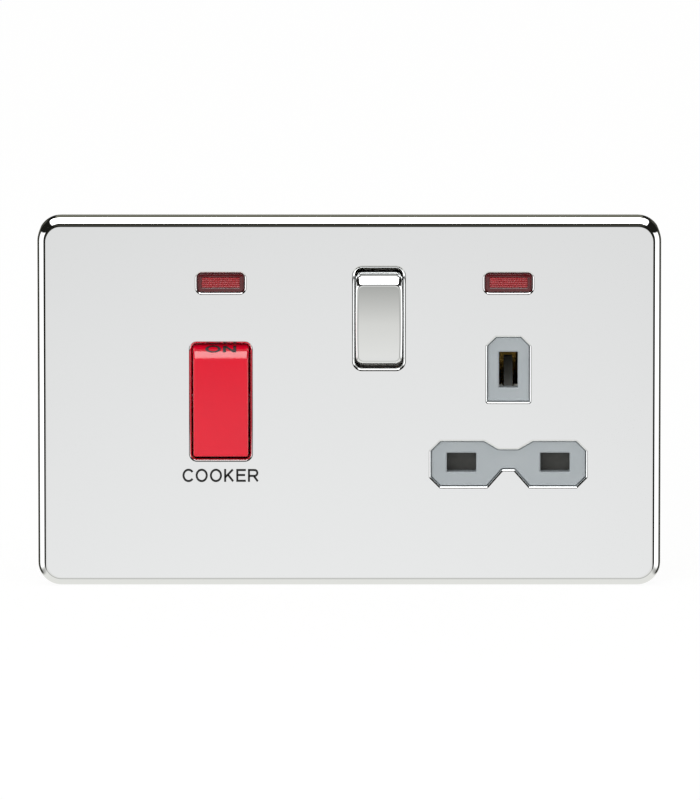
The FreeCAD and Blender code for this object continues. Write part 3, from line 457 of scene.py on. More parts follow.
# Chrome on an ABS moulding: as bright, a little softer over its curved face
CHROME_ABS = ChromePlating("chrome_plated_abs", "#ECEDED", 0.02, ripple=12.0, ripple_height=0.002)
# Glossy red ABS: a saturated body colour under a hard shine
RED_ABS = MouldedPlastic(
    "glossy_red_abs", "#E00629", 0.1, "#D60729", 7.0, 0.5, 0.002, worn_roughness=0.16, coat=0.1
)
# Satin grey polycarbonate from an etched mould: even, soft, with no sharp highlight
GREY_PC = MouldedPlastic("satin_grey_polycarbonate", "#A0A7AB", 0.42, "#A9AFB2", 6.0, 0.3, 0.006)
# Dark grey polycarbonate with drag lines from sliding
DARK_PC = MouldedPlastic("dark_grey_polycarbonate", "#4A4A47", 0.4, "#3C3C39", 1.2, 0.2, 0.006)
# White urea moulding powder: dense, faintly cream, dull on the hidden side
WHITE_UREA = MouldedPlastic("moulded_white_urea", "#E9E8E2", 0.38, "#E2E0D8", 14.0, 0.4, 0.006)
# Natural nylon: waxy and slightly yellow
NYLON = MouldedPlastic("natural_nylon", "#E4E0D2", 0.45, "#D9D4C2", 4.0, 0.3, 0.004, ior=1.53)
# Pressed brass strip: yellow with brown tarnish and rolling lines
BRASS = WorkedMetal("pressed_brass", "#D9B663", 0.26, "#B08A42")
# Turned brass: rings of the tool across the piece
TURNED_BRASS = WorkedMetal("turned_brass", "#DDBB6A", 0.22, "#BE9A50", 4.0, (0.15, 2.0, 0.15))
# Zinc-plated steel sheet: bluish grey with a dull spangle
ZINC_STEEL = WorkedMetal(
    "zinc_plated_steel", "#C6CACD", 0.3, "#AEB3B8", 3.0, (4.0, 0.4, 0.3), 0.002
)
# Drawn spring wire: darker, with lines along the wire
SPRING_WIRE = WorkedMetal("drawn_spring_steel", "#B4B7BA", 0.25, "#85888B", 1.0, (0.3, 0.3, 0.1))
# Silver-alloy rivet: soft white metal
SILVER = WorkedMetal("contact_silver_alloy", "#E6E3DB", 0.3, "#C9C2B4", 0.8, (0.3, 0.3, 0.3))
# Red polycarbonate with painted shade and painted light: the frame maroon for the dark cavity
# behind it, the ribs redder where they scatter the light
SHADED_LENS_FRAME = TintedLens("tinted_polycarbonate_frame_painted_shade", "#6B1B20", 0.08, "#4E1418")
LIT_LENS_RIBS = TintedLens("ribbed_tinted_polycarbonate_painted_light", "#B32A31", 0.16, "#8F2129", transmission=0.1)
# Discharge lamp's glass and its lacquered resistor
LAMP_GLASS = BlownGlass("blown_lamp_glass", "#F6E9DC", 0.03)
RESISTOR = BandedLacquer("lacquered_resistor", "#C9A877", 0.35)
# Pad-printed black ink: thin, flat, with a slightly broken film
INK = MouldedPlastic("pad_printed_black_ink", "#121212", 0.6, "#1A1A1A", 0.5, 0.08, 0.002)


# Outlines and meshes


def mirrored(half: Loop, centre: float, height: float = 0.0) -> Loop:
    """Closes a right half, given from bottom to top, with its mirror image.

    Args:
        half: points right of the middle, as x and z from the middle.
        centre: the x of the middle.
        height: the z of the middle.

    Returns:
        The whole outline, anticlockwise from the front: right half upward, left half downward.
    """
    right = [(centre + x, height + z) for x, z in half]
    left = [(centre - x, height + z) for x, z in reversed(half)]
    return right + left


def arc(x: float, z: float, radius: float, start: float, end: float, steps: int) -> Loop:
    """Points along an arc about x and z, both ends among them, for angles in degrees."""
    angles = [math.radians(start + (end - start) * step / steps) for step in range(steps + 1)]
    return [(x + radius * math.cos(angle), z + radius * math.sin(angle)) for angle in angles]


def rounded(
    size: Size, corner: float, steps: int = 8, bulge: float = 0.0, sides: Sequence[float] = ()
) -> Loop:
    """The right half of a rectangle with round corners, about the middle.

    Args:
        size: the rectangle's width and height.
        corner: its corner radius.
        steps: how many runs each corner has.
        bulge: how far its sides swell at mid height.
        sides: the z of further points on the side, in order.

    Returns:
        The half outline from bottom to top.
    """
    wide, high = size[0] / 2, size[1] / 2
    rise = high - corner
    low = arc(wide - corner, -rise, corner, -90.0, 0.0, steps)
    side = [(wide, z) for z in sides if abs(z) < rise]
    top = arc(wide - corner, rise, corner, 0.0, 90.0, steps)
    return [(x + bulge * (1 - (z / high) ** 2), z) for x, z in low + side + top]


def softened(corners: Loop, radii: Sequence[float], steps: int = 5) -> Loop:
    """A closed polygon with each corner turned to an arc.

    Args:
        corners: the polygon, anticlockwise from the front.
        radii: a radius for each corner.
        steps: how many runs each arc has.

    Returns:
        The rounded outline.
    """
    outline: Loop = []
    for index, radius in enumerate(radii):
        here = Vector(corners[index])
        back = (Vector(corners[index - 1]) - here).normalized()
        ahead = (Vector(corners[(index + 1) % len(corners)]) - here).normalized()
        half_angle = back.angle(ahead) / 2
        middle = here + (back + ahead).normalized() * radius / math.sin(half_angle)
        first = here + back * radius / math.tan(half_angle) - middle
        last = here + ahead * radius / math.tan(half_angle) - middle
        turn = first.angle_signed(last)
        for step in range(steps + 1):
            outline.append(tuple(middle + Matrix.Rotation(-turn * step / steps, 2) @ first))
    return outline


def grown(loop: Loop, distance: float) -> Loop:
    """Moves a closed outline outward.

    Args:
        loop: the outline, anticlockwise from the front.
        distance: how far it moves, or inward where negative.

    Returns:
        The moved outline, with as many points.
    """
    moved: Loop = []
    points = [Vector(point) for point in loop]
    for before, here, after in zip([points[-1], *points], points, [*points[1:], points[0]]):
        runs = [run for run in (here - before, after - here) if run.length > SAME_POINT]
        normals = [Vector((run.y, -run.x)).normalized() for run in runs]
        outward = sum(normals, Vector((0.0, 0.0))).normalized()
        stretch = max(SHARPEST, outward.dot(normals[0]))
        moved.append(tuple(here + outward * distance / stretch))
    return moved


def rolled(loop: Loop, depth: float, radius: float, steps: int, way: float = -1.0) -> list[Level]:
    """A quarter round from a face down to a wall.

    Args:
        loop: the wall's outline.
        depth: the face's y.
        radius: the round's radius.
        steps: how many runs it has.
        way: -1 where the face is inside the outline, 1 where it is outside.

    Returns:
        Outlines with their depths, the face's first.
    """
    levels: list[Level] = []
    for step in range(steps + 1):
        turn = math.pi / 2 * step / steps
        inset = radius * (1 - math.sin(turn))
        levels.append((grown(loop, way * inset), depth + radius * (1 - math.cos(turn))))
    return levels


def stand(name: str, data: bpy.types.ID) -> Piece:
    """Puts new data into the scene.

    Args:
        name: the new object's name.
        data: its mesh, lamp or camera.

    Returns:
        The object.
    """
    made = bpy.data.objects.new(name, data)
    bpy.context.scene.collection.objects.link(made)
    return made


@dataclass
class Skin:
    """A mesh under construction, in millimetres."""

    points: list[Vector] = field(default_factory=list)
    faces: list[tuple[int, ...]] = field(default_factory=list)
    marks: list[int] = field(default_factory=list)

    def add_points(self, points: Iterable[Sequence[float]]) -> list[int]:
        """Adds points.

        Args:
            points: their places.

        Returns:
            Their indices.
        """
        start = len(self.points)
        self.points += [Vector(point) for point in points]
        return list(range(start, len(self.points)))

    def add_face(self, corners: Ring, mark: int = 0) -> None:
        """Adds one face with the index of its finish."""
        self.faces.append(tuple(corners))
        self.marks.append(mark)

    def ring(self, loop: Loop, depth: Depth) -> list[int]:
        """Adds an outline at a depth, or at a depth that is a function of x and z."""
        return self.add_points((x, depth(x, z) if callable(depth) else depth, z) for x, z in loop)

    def sweep(self, rings: Sequence[Ring], mark: int = 0) -> None:
        """Joins each ring to the next with a closed band of faces.

        Args:
            rings: rings of as many points.
            mark: the index of their finish.
        """
        for one, two in zip(rings, rings[1:]):
            for index in range(len(one)):
                self.add_face((one[index - 1], one[index], two[index], two[index - 1]), mark)

    def tube(self, levels: Iterable[Level]) -> list[list[int]]:
        """Adds outlines, each joined to the next.

        Args:
            levels: the outlines with their depths.

        Returns:
            Their rings.
        """
        rings = [self.ring(loop, depth) for loop, depth in levels]
        self.sweep(rings)
        return rings

    def rod(self, rings: Sequence[Ring], mark: int = 0) -> None:
        """Joins rings and closes both ends with a face.

        Args:
            rings: rings of as many points.
            mark: the index of their finish.
        """
        self.sweep(rings, mark)
        for end in (rings[0], rings[-1]):
            self.add_face(end, mark)

    def fill(self, rings: Sequence[Ring], mark: int = 0) -> None:
        """Fills a flat outline with triangles, round the holes in it.

        Args:
            rings: the outer ring, then the holes' rings.
            mark: the index of its finish.
        """
        order = [index for ring in rings for index in ring]
        flat = [[self.points[index].xz.to_3d() for index in ring] for ring in rings]
        for corners in tessellate_polygon(flat):
            self.add_face([order[corner] for corner in corners], mark)

    def ladder(self, ring: Ring) -> None:
        """Closes a ring with a rung at each pair of points.

        Args:
            ring: a ring whose left half mirrors its right half.
        """
        half = len(ring) // 2
        right, left = ring[:half], ring[: half - 1 : -1]
        for index in range(half - 1):
            self.add_face((right[index], right[index + 1], left[index + 1], left[index]))

    def turn(self, profile: Loop, axis: Axis, steps: int = 28) -> None:
        """Adds a closed turned form.

        Args:
            profile: places along the axis with their radii, from end to end.
            axis: the axis it stands on.
            steps: how many sides it has.
        """
        rings = []
        for along, radius in profile:
            circle = arc(0.0, 0.0, radius, 0.0, 360.0, steps)[:-1]
            upright = [(across, along, up) for across, up in circle]
            level = [(along, across, up) for across, up in circle]
            rings.append(self.add_points(level if axis is Axis.X else upright))
        self.rod(rings)

    def placed(self, matrix: Matrix) -> Skin:
        """Moves every point by a matrix, in millimetres, and gives the skin back."""
        self.points = [matrix @ point for point in self.points]
        return self

    def build(self, name: str, finishes: Sequence[Finish], sharp: float = 35.0) -> Piece:
        """Makes the mesh object.

        Args:
            name: the piece's name.
            finishes: its finishes, in the order of the faces' marks.
            sharp: the angle in degrees past which an edge stays sharp.

        Returns:
            The object, at the origin.
        """
        mesh = bpy.data.meshes.new(name)
        mesh.from_pydata([point * MM for point in self.points], [], self.faces)
        for finish in finishes:
            mesh.materials.append(finish.material())
        mesh.polygons.foreach_set("material_index", self.marks)
        shell = bmesh.new()
        shell.from_mesh(mesh)
        bmesh.ops.recalc_face_normals(shell, faces=shell.faces)
        shell.to_mesh(mesh)
        shell.free()
        mesh.shade_smooth()
        mesh.set_sharp_from_angle(angle=math.radians(sharp))
        return stand(name, mesh)


def settle(piece: Piece, body: Body, slot: Slot, *nodes: str) -> None:
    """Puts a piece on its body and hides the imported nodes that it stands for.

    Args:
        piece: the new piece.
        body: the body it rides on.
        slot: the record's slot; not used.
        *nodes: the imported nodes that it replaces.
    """
    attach(piece, body.value)
    if nodes:
        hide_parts(*nodes)
    LOG.info("%s: %d faces on %s", piece.name, len(piece.data.polygons), body.value)


def box_mm(node: str) -> tuple[Vector, Vector]:
    """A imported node's lowest and highest corner, in millimetres."""
    low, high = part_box(node)
    return low / MM, high / MM


# The unit's visible sub-assemblies


@dataclass
class SocketFront:
    """The socket's openings and the grey moulding with three pin holes behind them.

    Each side of the waist between the line openings has where it leaves the straight edge, where
    it meets the middle, and how deep it goes. The groove has its reach outside and inside the
    plate's lip, and its depth.
    """

    centre_x: float = 37.8
    earth_z: float = 7.7
    pin_pitch: float = 22.23
    earth_hole: Size = (4.5, 8.6)
    line_hole: Size = (7.0, 4.6)
    earth_opening: Size = (10.05, 15.5)
    earth_lift: float = 0.17
    earth_cut: float = 2.1
    line_opening: Size = (36.85, 10.8)
    line_drop: float = 0.25
    line_cut: float = 2.3
    waist_top: tuple[float, float, float] = (5.8, 2.4, 2.0)
    waist_foot: tuple[float, float, float] = (5.1, 1.5, 4.1)
    margin: float = 1.8
    foot_half: float = 13.0
    corner: float = 0.25
    waist_corner: float = 0.75
    chamfer: float = 0.3
    groove: tuple[float, float, float] = (0.08, 0.2, 0.9)
    sharp: float = 30.0

    @property
    def line_z(self) -> float:
        """The height of the live and neutral holes."""
        return self.earth_z - self.pin_pitch

    def earth_outline(self) -> Loop:
        """The plate's opening round the earth hole, with its upper corners cut off.

        Returns:
            The outline.
        """
        half, high = self.earth_opening[0] / 2, self.earth_opening[1] / 2
        points = [(half, -high), (half, high - self.earth_cut), (half - self.earth_cut, high)]
        corners = mirrored(points, self.centre_x, self.earth_z + self.earth_lift)
        return softened(corners, [self.corner] * len(corners))

    def line_outline(self) -> Loop:
        """The plate's opening round the live and neutral holes: two wide ends and a waist.

        Returns:
            The outline.
        """
        half, high = self.line_opening[0] / 2, self.line_opening[1] / 2
        cut_x, cut_z = half - self.line_cut, high - self.line_cut
        foot_out, foot_in, foot_rise = self.waist_foot
        top_out, top_in, top_drop = self.waist_top
        foot = [(foot_in, foot_rise - high), (foot_out, -high)]
        end = [(cut_x, -high), (half, -cut_z), (half, cut_z), (cut_x, high)]
        points = [*foot, *end, (top_out, high), (top_in, high - top_drop)]
        radii = [self.waist_corner, *[self.corner] * (len(points) - 2), self.waist_corner]
        corners = mirrored(points, self.centre_x, self.line_z - self.line_drop)
        return softened(corners, radii + radii[::-1])

    def hole(self, size: Size, x: float, z: float) -> Loop:
        """A pin hole's outline, x from the socket's middle."""
        return mirrored(rounded(size, self.corner, 3), self.centre_x + x, z)

    def outline(self, low: Vector, high: Vector) -> Loop:
        """The moulding's outline: a stem, two wings and a foot.

        Args:
            low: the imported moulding's lowest corner.
            high: its highest corner.

        Returns:
            The outline.
        """
        stem = self.earth_opening[0] / 2 + self.margin
        wing = (high.x - low.x) / 2
        reach = self.line_opening[1] / 2 + self.margin
        foot, shoulder = self.line_z - reach, self.line_z + reach
        base = [(self.foot_half, low.z), (self.foot_half, foot)]
        points = [*base, (wing, foot), (wing, shoulder), (stem, shoulder), (stem, high.z)]
        corners = mirrored(points, self.centre_x)
        return softened(corners, [self.waist_corner] * len(corners))

    def build(self) -> None:
        """Makes the moulding: a groove under each of the plate's lips, chamfered pin holes."""
        low, high = box_mm("socket_insert")
        front, back = low.y, high.y
        cut = front + self.chamfer
        edge = self.outline(low, high)
        skin = Skin()
        face, _, rear = skin.tube([(grown(edge, -self.chamfer), front), (edge, cut), (edge, back)])
        fronts, rears = [face], [rear]
        outside, inside, depth = self.groove
        sunk = front + depth
        spread = self.pin_pitch / 2
        earth = [self.hole(self.earth_hole, 0.0, self.earth_z)]
        lines = [self.hole(self.line_hole, x, self.line_z) for x in (-spread, spread)]
        for opening, holes in ((self.earth_outline(), earth), (self.line_outline(), lines)):
            broad, tight = grown(opening, outside), grown(opening, -inside)
            rings = skin.tube([(broad, front), (broad, sunk), (tight, sunk), (tight, front)])
            fronts.append(rings[0])
            island = [rings[-1]]
            for hole in holes:
                mouth = grown(hole, self.chamfer)
                rings = skin.tube([(mouth, front), (hole, cut), (hole, back)])
                island.append(rings[0])
                rears.append(rings[-1])
            skin.fill(island)
        skin.fill(fronts)
        skin.fill(rears)
        piece = skin.build("socket_front_moulding", [GREY_PC], self.sharp)
        settle(piece, Body.UNIT, Slot.GREY, "socket_insert")


@dataclass
class FrontPlate:
    """The pressed plate: a mirror face with a rolled rim, and a rolled lip round each opening."""

    openings: list[tuple[Loop, float]]
    gauge: float = 1.0
    edge_round: float = 2.0
    corner: float = 5.5
    lip_margin: float = 0.06
    margin: float = 0.15
    edge_steps: int = 14
    lip_steps: int = 8
    notch_half: float = 2.75
    notch_depth: float = 1.4

    def build(self) -> None:
        """Makes the plate, its rim with a prising notch at each side."""
        low, high = box_mm("front_plate")
        front, rim = low.y, high.y
        back, step = front + self.gauge, rim - self.notch_depth
        size = (high.x - low.x, high.z - low.z)
        sides = (-self.notch_half, self.notch_half)
        half = rounded(size, self.corner, self.edge_steps, sides=sides)
        outer = mirrored(half, (low.x + high.x) / 2, (low.z + high.z) / 2)
        inner = grown(outer, -self.gauge)
        flat = grown(outer, -self.edge_round - self.margin)
        roll = rolled(outer, front, self.edge_round, self.edge_steps)
        bend = rolled(inner, back, self.edge_round - self.gauge, self.edge_steps)
        skin = Skin()
        outside = skin.tube([(flat, front), *roll, (outer, step)])
        inside = skin.tube([(flat, back), *bend, (inner, step)])
        rims = [skin.ring(loop, rim) for loop in (outer, inner)]
        self.close_rim(skin, outer, [outside[-1], *rims, inside[-1]])
        fronts, backs = [outside[0]], [inside[0]]
        for opening, lip in self.openings:
            mouth = grown(opening, lip + self.lip_margin)
            lips = rolled(opening, front, lip, self.lip_steps, 1.0)
            rings = skin.tube([(mouth, front), *lips, (opening, back)])
            fronts.append(rings[0])
            backs.append(rings[-1])
        skin.fill(fronts)
        skin.fill(backs)
        settle(skin.build("chrome_front_plate", [CHROME]), Body.UNIT, Slot.CHROME, "front_plate")

    def close_rim(self, skin: Skin, outer: Loop, band: Sequence[Ring]) -> None:
        """Closes the rim between the outer and inner wall, and leaves the notches open.

        Args:
            skin: the plate so far.
            outer: the plate's outline.
            band: rings at the outer step, outer rim, inner rim and inner step.
        """
        limit = self.notch_half + self.margin
        first, *_, last = band
        for index in range(len(outer)):
            ends = (index - 1, index)
            if all(abs(outer[end][1]) < limit for end in ends):
                skin.add_face((first[index - 1], first[index], last[index], last[index - 1]))
                for end in ends:
                    skin.add_face([ring[end] for ring in band])
            else:
                for one, two in zip(band, band[1:]):
                    skin.add_face((one[index - 1], one[index], two[index], two[index - 1]))


@dataclass
class Rocker:
    """A rocker: sloping ends and sides, a dished face, a hollow skirt, trunnions and a nose.

    The base and the face have their width and length, the nose its radius and reach. The face's
    flat starts inside its end and side rounds, at a share of each.
    """

    node: str
    body: Body
    slot: Slot
    finish: Finish
    centre: Size
    base: Size
    face: Size
    rise: float
    edge_round: float
    side_round: float
    corner: float
    dish: float
    bulge: float
    tilt: float = 7.5
    pivot_y: float = -2.0
    shoulder: float = 3.0
    lip: float = 1.0
    skirt: float = 2.0
    skirt_step: float = 2.2
    wall: float = 1.5
    flat_end: float = 1.15
    flat_side: float = 1.05
    nose: Size = (3.0, 5.5)
    nose_root: float = 0.2
    nose_chamfer: float = 0.45
    trunnion: float = 1.5
    trunnion_chamfer: float = 0.3
    least_corner: float = 0.2
    corner_steps: int = 6
    side_points: int = 28
    slope_steps: int = 6
    edge_steps: int = 8
    sharp: float = 40.0

    def matrix(self) -> Matrix:
        """Where the rocker stands at rest, in millimetres."""
        place = Matrix.Translation((self.centre[0], self.pivot_y, self.centre[1]))
        return place @ Matrix.Rotation(math.radians(self.tilt), 4, "X")

    def outline(self, width: float, length: float, inset: float = 0.0, swell: float = 0.0) -> Loop:
        """The rocker's outline at one level.

        Args:
            width: the level's width.
            length: the level's length.
            inset: how far the level is inside the side faces.
            swell: the share of the sides' bulge at this level.

        Returns:
            The outline, with the same number of points at every level.
        """
        corner = max(self.least_corner, self.corner - inset)
        last = self.side_points + 1
        sides = [(length / 2 - corner) * (2 * step / last - 1) for step in range(1, last)]
        half = rounded((width, length), corner, self.corner_steps, self.bulge * swell, sides)
        return mirrored(half, 0.0)

    def face_depth(self, level: float, share: float = 1.0) -> Depth:
        """A depth that is level at the rocker's ends and follows a share of the face's dish."""
        half = self.face[1] / 2
        return lambda x, z: level + self.dish * share * max(0.0, 1 - (z / half) ** 2)

    def slopes(self) -> list[Level]:
        """The rocker's outside, from its shoulder up to its face.

        Returns:
            Outlines with their depths.
        """
        (base_width, base_length), (width, length) = self.base, self.face
        run_x, run_z = base_width - width, base_length - length
        height = self.rise - self.shoulder
        lead = self.edge_round / height
        levels: list[Level] = []
        for step in range(self.slope_steps + 1):
            climb = step / self.slope_steps * (1 - lead)
            across, along = base_width - run_x * climb, base_length - run_z * climb
            depth = self.face_depth(-self.shoulder - height * climb, climb)
            levels.append((self.outline(across, along, 0.0, climb), depth))
        for step in range(1, self.edge_steps + 1):
            turn = step / self.edge_steps
            below, inside = (1 - turn) ** 2, turn**2
            across = width + run_x * lead * below - self.side_round * inside * 2
            along = length + run_z * lead * below - self.edge_round * inside * 2
            loop = self.outline(across, along, self.edge_round * inside, 1.0)
            levels.append((loop, self.face_depth(self.edge_round * below - self.rise)))
        inset = self.edge_round * self.flat_end
        across = width - self.side_round * self.flat_side * 2
        loop = self.outline(across, length - inset * 2, inset, 1.0)
        return [*levels, (loop, self.face_depth(-self.rise))]

    def build(self) -> None:
        """Makes the rocker, hollow behind, with its nose and its trunnions."""
        base_width, base_length = self.base
        width, length = (size - self.wall * 2 for size in self.face)
        hollow = self.outline(width, length, self.wall)
        skirt = self.outline(base_width, base_length - self.skirt_step * 2)
        lip_back = self.lip - self.shoulder
        ceiling = self.wall - self.rise
        inside = [(hollow, ceiling), (hollow, self.skirt)]
        behind = [(skirt, self.skirt), (skirt, lip_back), (self.outline(*self.base), lip_back)]
        skin = Skin()
        rings = skin.tube([*inside, *behind, *self.slopes()])
        skin.ladder(rings[0])
        skin.ladder(rings[-1])
        radius, reach = self.nose
        narrow, near = radius - self.nose_chamfer, reach - self.nose_chamfer
        skin.turn([(ceiling - self.nose_root, radius), (near, radius), (reach, narrow)], Axis.Y)
        for corner in box_mm(self.node):
            end = corner.x - self.centre[0]
            root = math.copysign(width / 2, end)
            tip = math.copysign(abs(end) - self.trunnion_chamfer, end)
            thin = self.trunnion - self.trunnion_chamfer
            skin.turn([(root, self.trunnion), (tip, self.trunnion), (end, thin)], Axis.X)
        skin.placed(self.matrix())
        piece = skin.build(f"{self.node}_dressed", [self.finish], self.sharp)
        settle(piece, self.body, self.slot, self.node)


@dataclass
class NeonLens:
    """A red lens: a polished frame round a sunk window with rounded ribs along it."""

    node: str
    centre: Size
    block: Size = (11.05, 4.45)
    corner: float = 0.9
    flange: float = 1.1
    flange_back: float = 1.0
    window: Size = (9.1, 2.5)
    window_corner: float = 0.2
    sill: float = 0.12
    recess: float = 0.4
    edge_round: float = 0.3
    edge_steps: int = 5
    ribs: int = 5
    rib_share: float = 0.92
    rib_height: float = 0.26
    rib_steps: int = 6
    rib_gap: float = 0.1
    rib_sink: float = 0.02

    def build(self) -> None:
        """Makes the lens, its ribs and its flange behind the plate."""
        low, high = box_mm(self.node)
        front, back = low.y, high.y
        broad = (self.block[0] + self.flange * 2, self.block[1] + self.flange * 2)
        block = mirrored(rounded(self.block, self.corner), *self.centre)
        wide = mirrored(rounded(broad, self.corner), *self.centre)
        window = mirrored(rounded(self.window, self.window_corner), *self.centre)
        seat, floor = front + self.flange_back, front + self.recess
        frame = rolled(block, front, self.edge_round, self.edge_steps)
        skin = Skin()
        outside = skin.tube([*frame, (block, seat), (wide, seat), (wide, back)])
        mouth = (grown(window, self.sill), front)
        inside = skin.tube([mouth, (window, front + self.sill), (window, floor)])
        skin.fill([outside[0], inside[0]])
        skin.fill([outside[-1]])
        skin.fill([inside[-1]], 1)
        pitch = self.window[1] / self.ribs
        for rib in range(self.ribs):
            z = self.centre[1] - self.window[1] / 2 + pitch * (rib + 0.5)
            self.add_rib(skin, z, pitch * self.rib_share / 2, floor + self.rib_sink)
        # The frame takes the red with painted shade, the ribs the same red with painted light
        piece = skin.build(f"{self.node}_ribbed", [SHADED_LENS_FRAME, LIT_LENS_RIBS])
        settle(piece, Body.UNIT, Slot.LENS, self.node)

    def add_rib(self, skin: Skin, z: float, half: float, floor: float) -> None:
        """Adds one rib: a bar with a round back along the window.

        Args:
            skin: the lens so far.
            z: the rib's height.
            half: half its breadth.
            floor: the y that it rises from.
        """
        reach = self.window[0] / 2 - self.rib_gap
        back = arc(0.0, 0.0, 1.0, 0.0, 180.0, self.rib_steps)
        ends = []
        for x in (self.centre[0] - reach, self.centre[0] + reach):
            points = [(x, floor - self.rib_height * up, z + half * along) for along, up in back]
            ends.append(skin.add_points(points))
        skin.rod(ends, 1)


# Letters: a stroke's half width and the gap between letters, for capitals one unit high
HALF_STROKE = 0.084
LETTER_GAP = 0.17
# Round letters: half their height, a little over the others', and the runs of a full turn
ROUND_HALF = 0.52
ROUND_STEPS = 36


def oval(width: float, start: float, end: float) -> Loop:
    """A round letter's centre line.

    Args:
        width: the letter's width.
        start: the line's first angle, in degrees.
        end: its last angle, in degrees.

    Returns:
        The points along the line.
    """
    across, up = width / 2 - HALF_STROKE, ROUND_HALF - HALF_STROKE
    circle = arc(0.0, 0.0, 1.0, start, end, ROUND_STEPS)
    return [(width / 2 + across * x, 0.5 + up * z) for x, z in circle]


# The middle of a stroke at a letter's left or foot, and at its head
LOW, HIGH = HALF_STROKE, 1.0 - HALF_STROKE
# The upright at a letter's left, the E without its middle arm, and the round part of the R
STEM = [(LOW, 0.0), (LOW, 1.0)]
FRAME = [(0.78, HIGH), (LOW, HIGH), (LOW, LOW), (0.78, LOW)]
BOWL = [(LOW, HIGH), *reversed(arc(0.54, 0.69, 0.226, -90.0, 90.0, 12)), (LOW, 0.464)]
# Each letter's width and the centre lines of its strokes
LETTERS: dict[str, tuple[float, tuple[Loop, ...]]] = {
    "C": (0.9, (oval(0.98, 36.0, 324.0),)),
    "E": (0.78, (FRAME, [(LOW, 0.53), (0.72, 0.53)])),
    "K": (0.82, (STEM, [(0.71, 0.96), (0.1, 0.36)], [(0.3, 0.57), (0.74, 0.04)])),
    "N": (0.84, (STEM, [(0.1, 0.95), (0.74, 0.05)], [(0.756, 0.0), (0.756, 1.0)])),
    "O": (0.99, (oval(0.99, 0.0, 360.0),)),
    "R": (0.87, (STEM, BOWL, [(0.5, 0.43), (0.8, 0.04)])),
}


@dataclass
class Print:
    """A printed word: thin ink in plain capitals."""

    word: str
    name: str
    width: float
    height: float
    weight: float = 1.0
    film: float = 0.015
    sharpest: float = 0.5

    def build(self, place: Matrix, body: Body) -> None:
        """Makes the word and lays it on its surface.

        Args:
            place: where the word's middle, its right and its up are, in millimetres.
            body: the body whose surface carries it.
        """
        length = sum(LETTERS[letter][0] + LETTER_GAP for letter in self.word) - LETTER_GAP
        skin = Skin()
        cursor = -length / 2
        for letter in self.word:
            width, lines = LETTERS[letter]
            for line in lines:
                moved = [(cursor + x, up - 0.5) for x, up in line]
                self.add_stroke(skin, moved, self.width / length)
            cursor += width + LETTER_GAP
        settle(skin.placed(place).build(self.name, [INK]), body, Slot.DARK)

    def add_stroke(self, skin: Skin, line: Loop, stretch: float) -> None:
        """Adds one stroke: a flat bar of ink along a centre line.

        Args:
            skin: the word so far.
            line: the stroke's centre line, for letters one unit high.
            stretch: how wide a unit is printed.
        """
        closed = math.dist(line[0], line[-1]) < HALF_STROKE
        points = [Vector(point) for point in (line[:-1] if closed else line)]
        befores = [points[-1 if closed else 0], *points]
        afters = [*points[1:], points[0 if closed else -1]]
        top = self.film / 2
        rings = []
        for before, here, after in zip(befores, points, afters):
            runs = [run.normalized() for run in (here - before, after - here) if run.length]
            along = sum(runs, Vector((0.0, 0.0))).normalized()
            reach = HALF_STROKE * self.weight / max(self.sharpest, along.dot(runs[0]))
            side = Vector((-along.y, along.x)) * reach
            flat = [(end.x * stretch, end.y * self.height) for end in (here + side, here - side)]
            bar = [(*end, top) for end in flat] + [(*end, -top) for end in reversed(flat)]
            rings.append(skin.add_points(bar))
        if closed:
            skin.sweep([*rings, rings[0]])
        else:
            skin.rod(rings)


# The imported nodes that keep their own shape, by finish

NODE_FINISHES: dict[Finish, tuple[str, ...]] = {
    WHITE_UREA: ("module_deck", "rear_housing"),
    ZINC_STEEL: ("mounting_yoke", "deck_screws", "housing_screws"),
    NYLON: ("cooker_plunger", "socket_plunger", "cooker_carrier", "socket_carrier"),
    SPRING_WIRE: ("cooker_plunger_spring", "socket_plunger_spring", "shutter_spring"),
    DARK_PC: ("shutter",),
    SILVER: ("cooker_moving_contacts", "socket_moving_contacts", "fixed_contacts"),
    BRASS: (
        *("cooker_neutral_blade", "cooker_live_blade", "socket_blade"),
        *("live_strip", "neutral_strip", "load_live_strip", "load_neutral_strip"),
        *("socket_live_strip", "earth_strip", "live_contact", "neutral_contact", "earth_contact"),
    ),
    TURNED_BRASS: (
        *("feed_live_terminal", "feed_neutral_terminal", "load_live_terminal"),
        *("load_neutral_terminal", "earth_terminal", "terminal_screws"),
    ),
    LAMP_GLASS: ("cooker_neon_lamp", "socket_neon_lamp"),
    RESISTOR: ("cooker_neon_resistor", "socket_neon_resistor"),
}


@dataclass(frozen=True)
class MouldRounds:
    """The small rounds that a mould leaves on sharp outer corners."""

    nodes: tuple[str, ...] = ("rear_housing", "module_deck")
    radius: float = 0.5
    steps: int = 3
    flattest: float = 50.0
    weld: float = 0.001

    def dress(self, node: Piece) -> None:
        """Rounds a packed moulding's corners, without a change to its mesh.

        Args:
            node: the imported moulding.
        """
        joined = node.modifiers.new("joined_corners", "WELD")
        joined.merge_threshold = self.weld * MM
        rounds = node.modifiers.new("moulded_corners", "BEVEL")
        rounds.width = self.radius * MM
        rounds.segments = self.steps
        rounds.limit_method = "ANGLE"
        rounds.angle_limit = math.radians(self.flattest)


def dress_nodes(nodes: dict[str, Piece]) -> None:
    """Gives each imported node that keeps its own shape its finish, and the mouldings their rounds.

    Args:
        nodes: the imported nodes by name.
    """
    rounds = MouldRounds()
    for name in rounds.nodes:
        rounds.dress(nodes[name])
    for finish, names in NODE_FINISHES.items():
        for name in names:
            mesh = nodes[name].data
            mesh.materials.clear()
            mesh.materials.append(finish.material())
            LOG.info("%s: %s", name, finish.name)


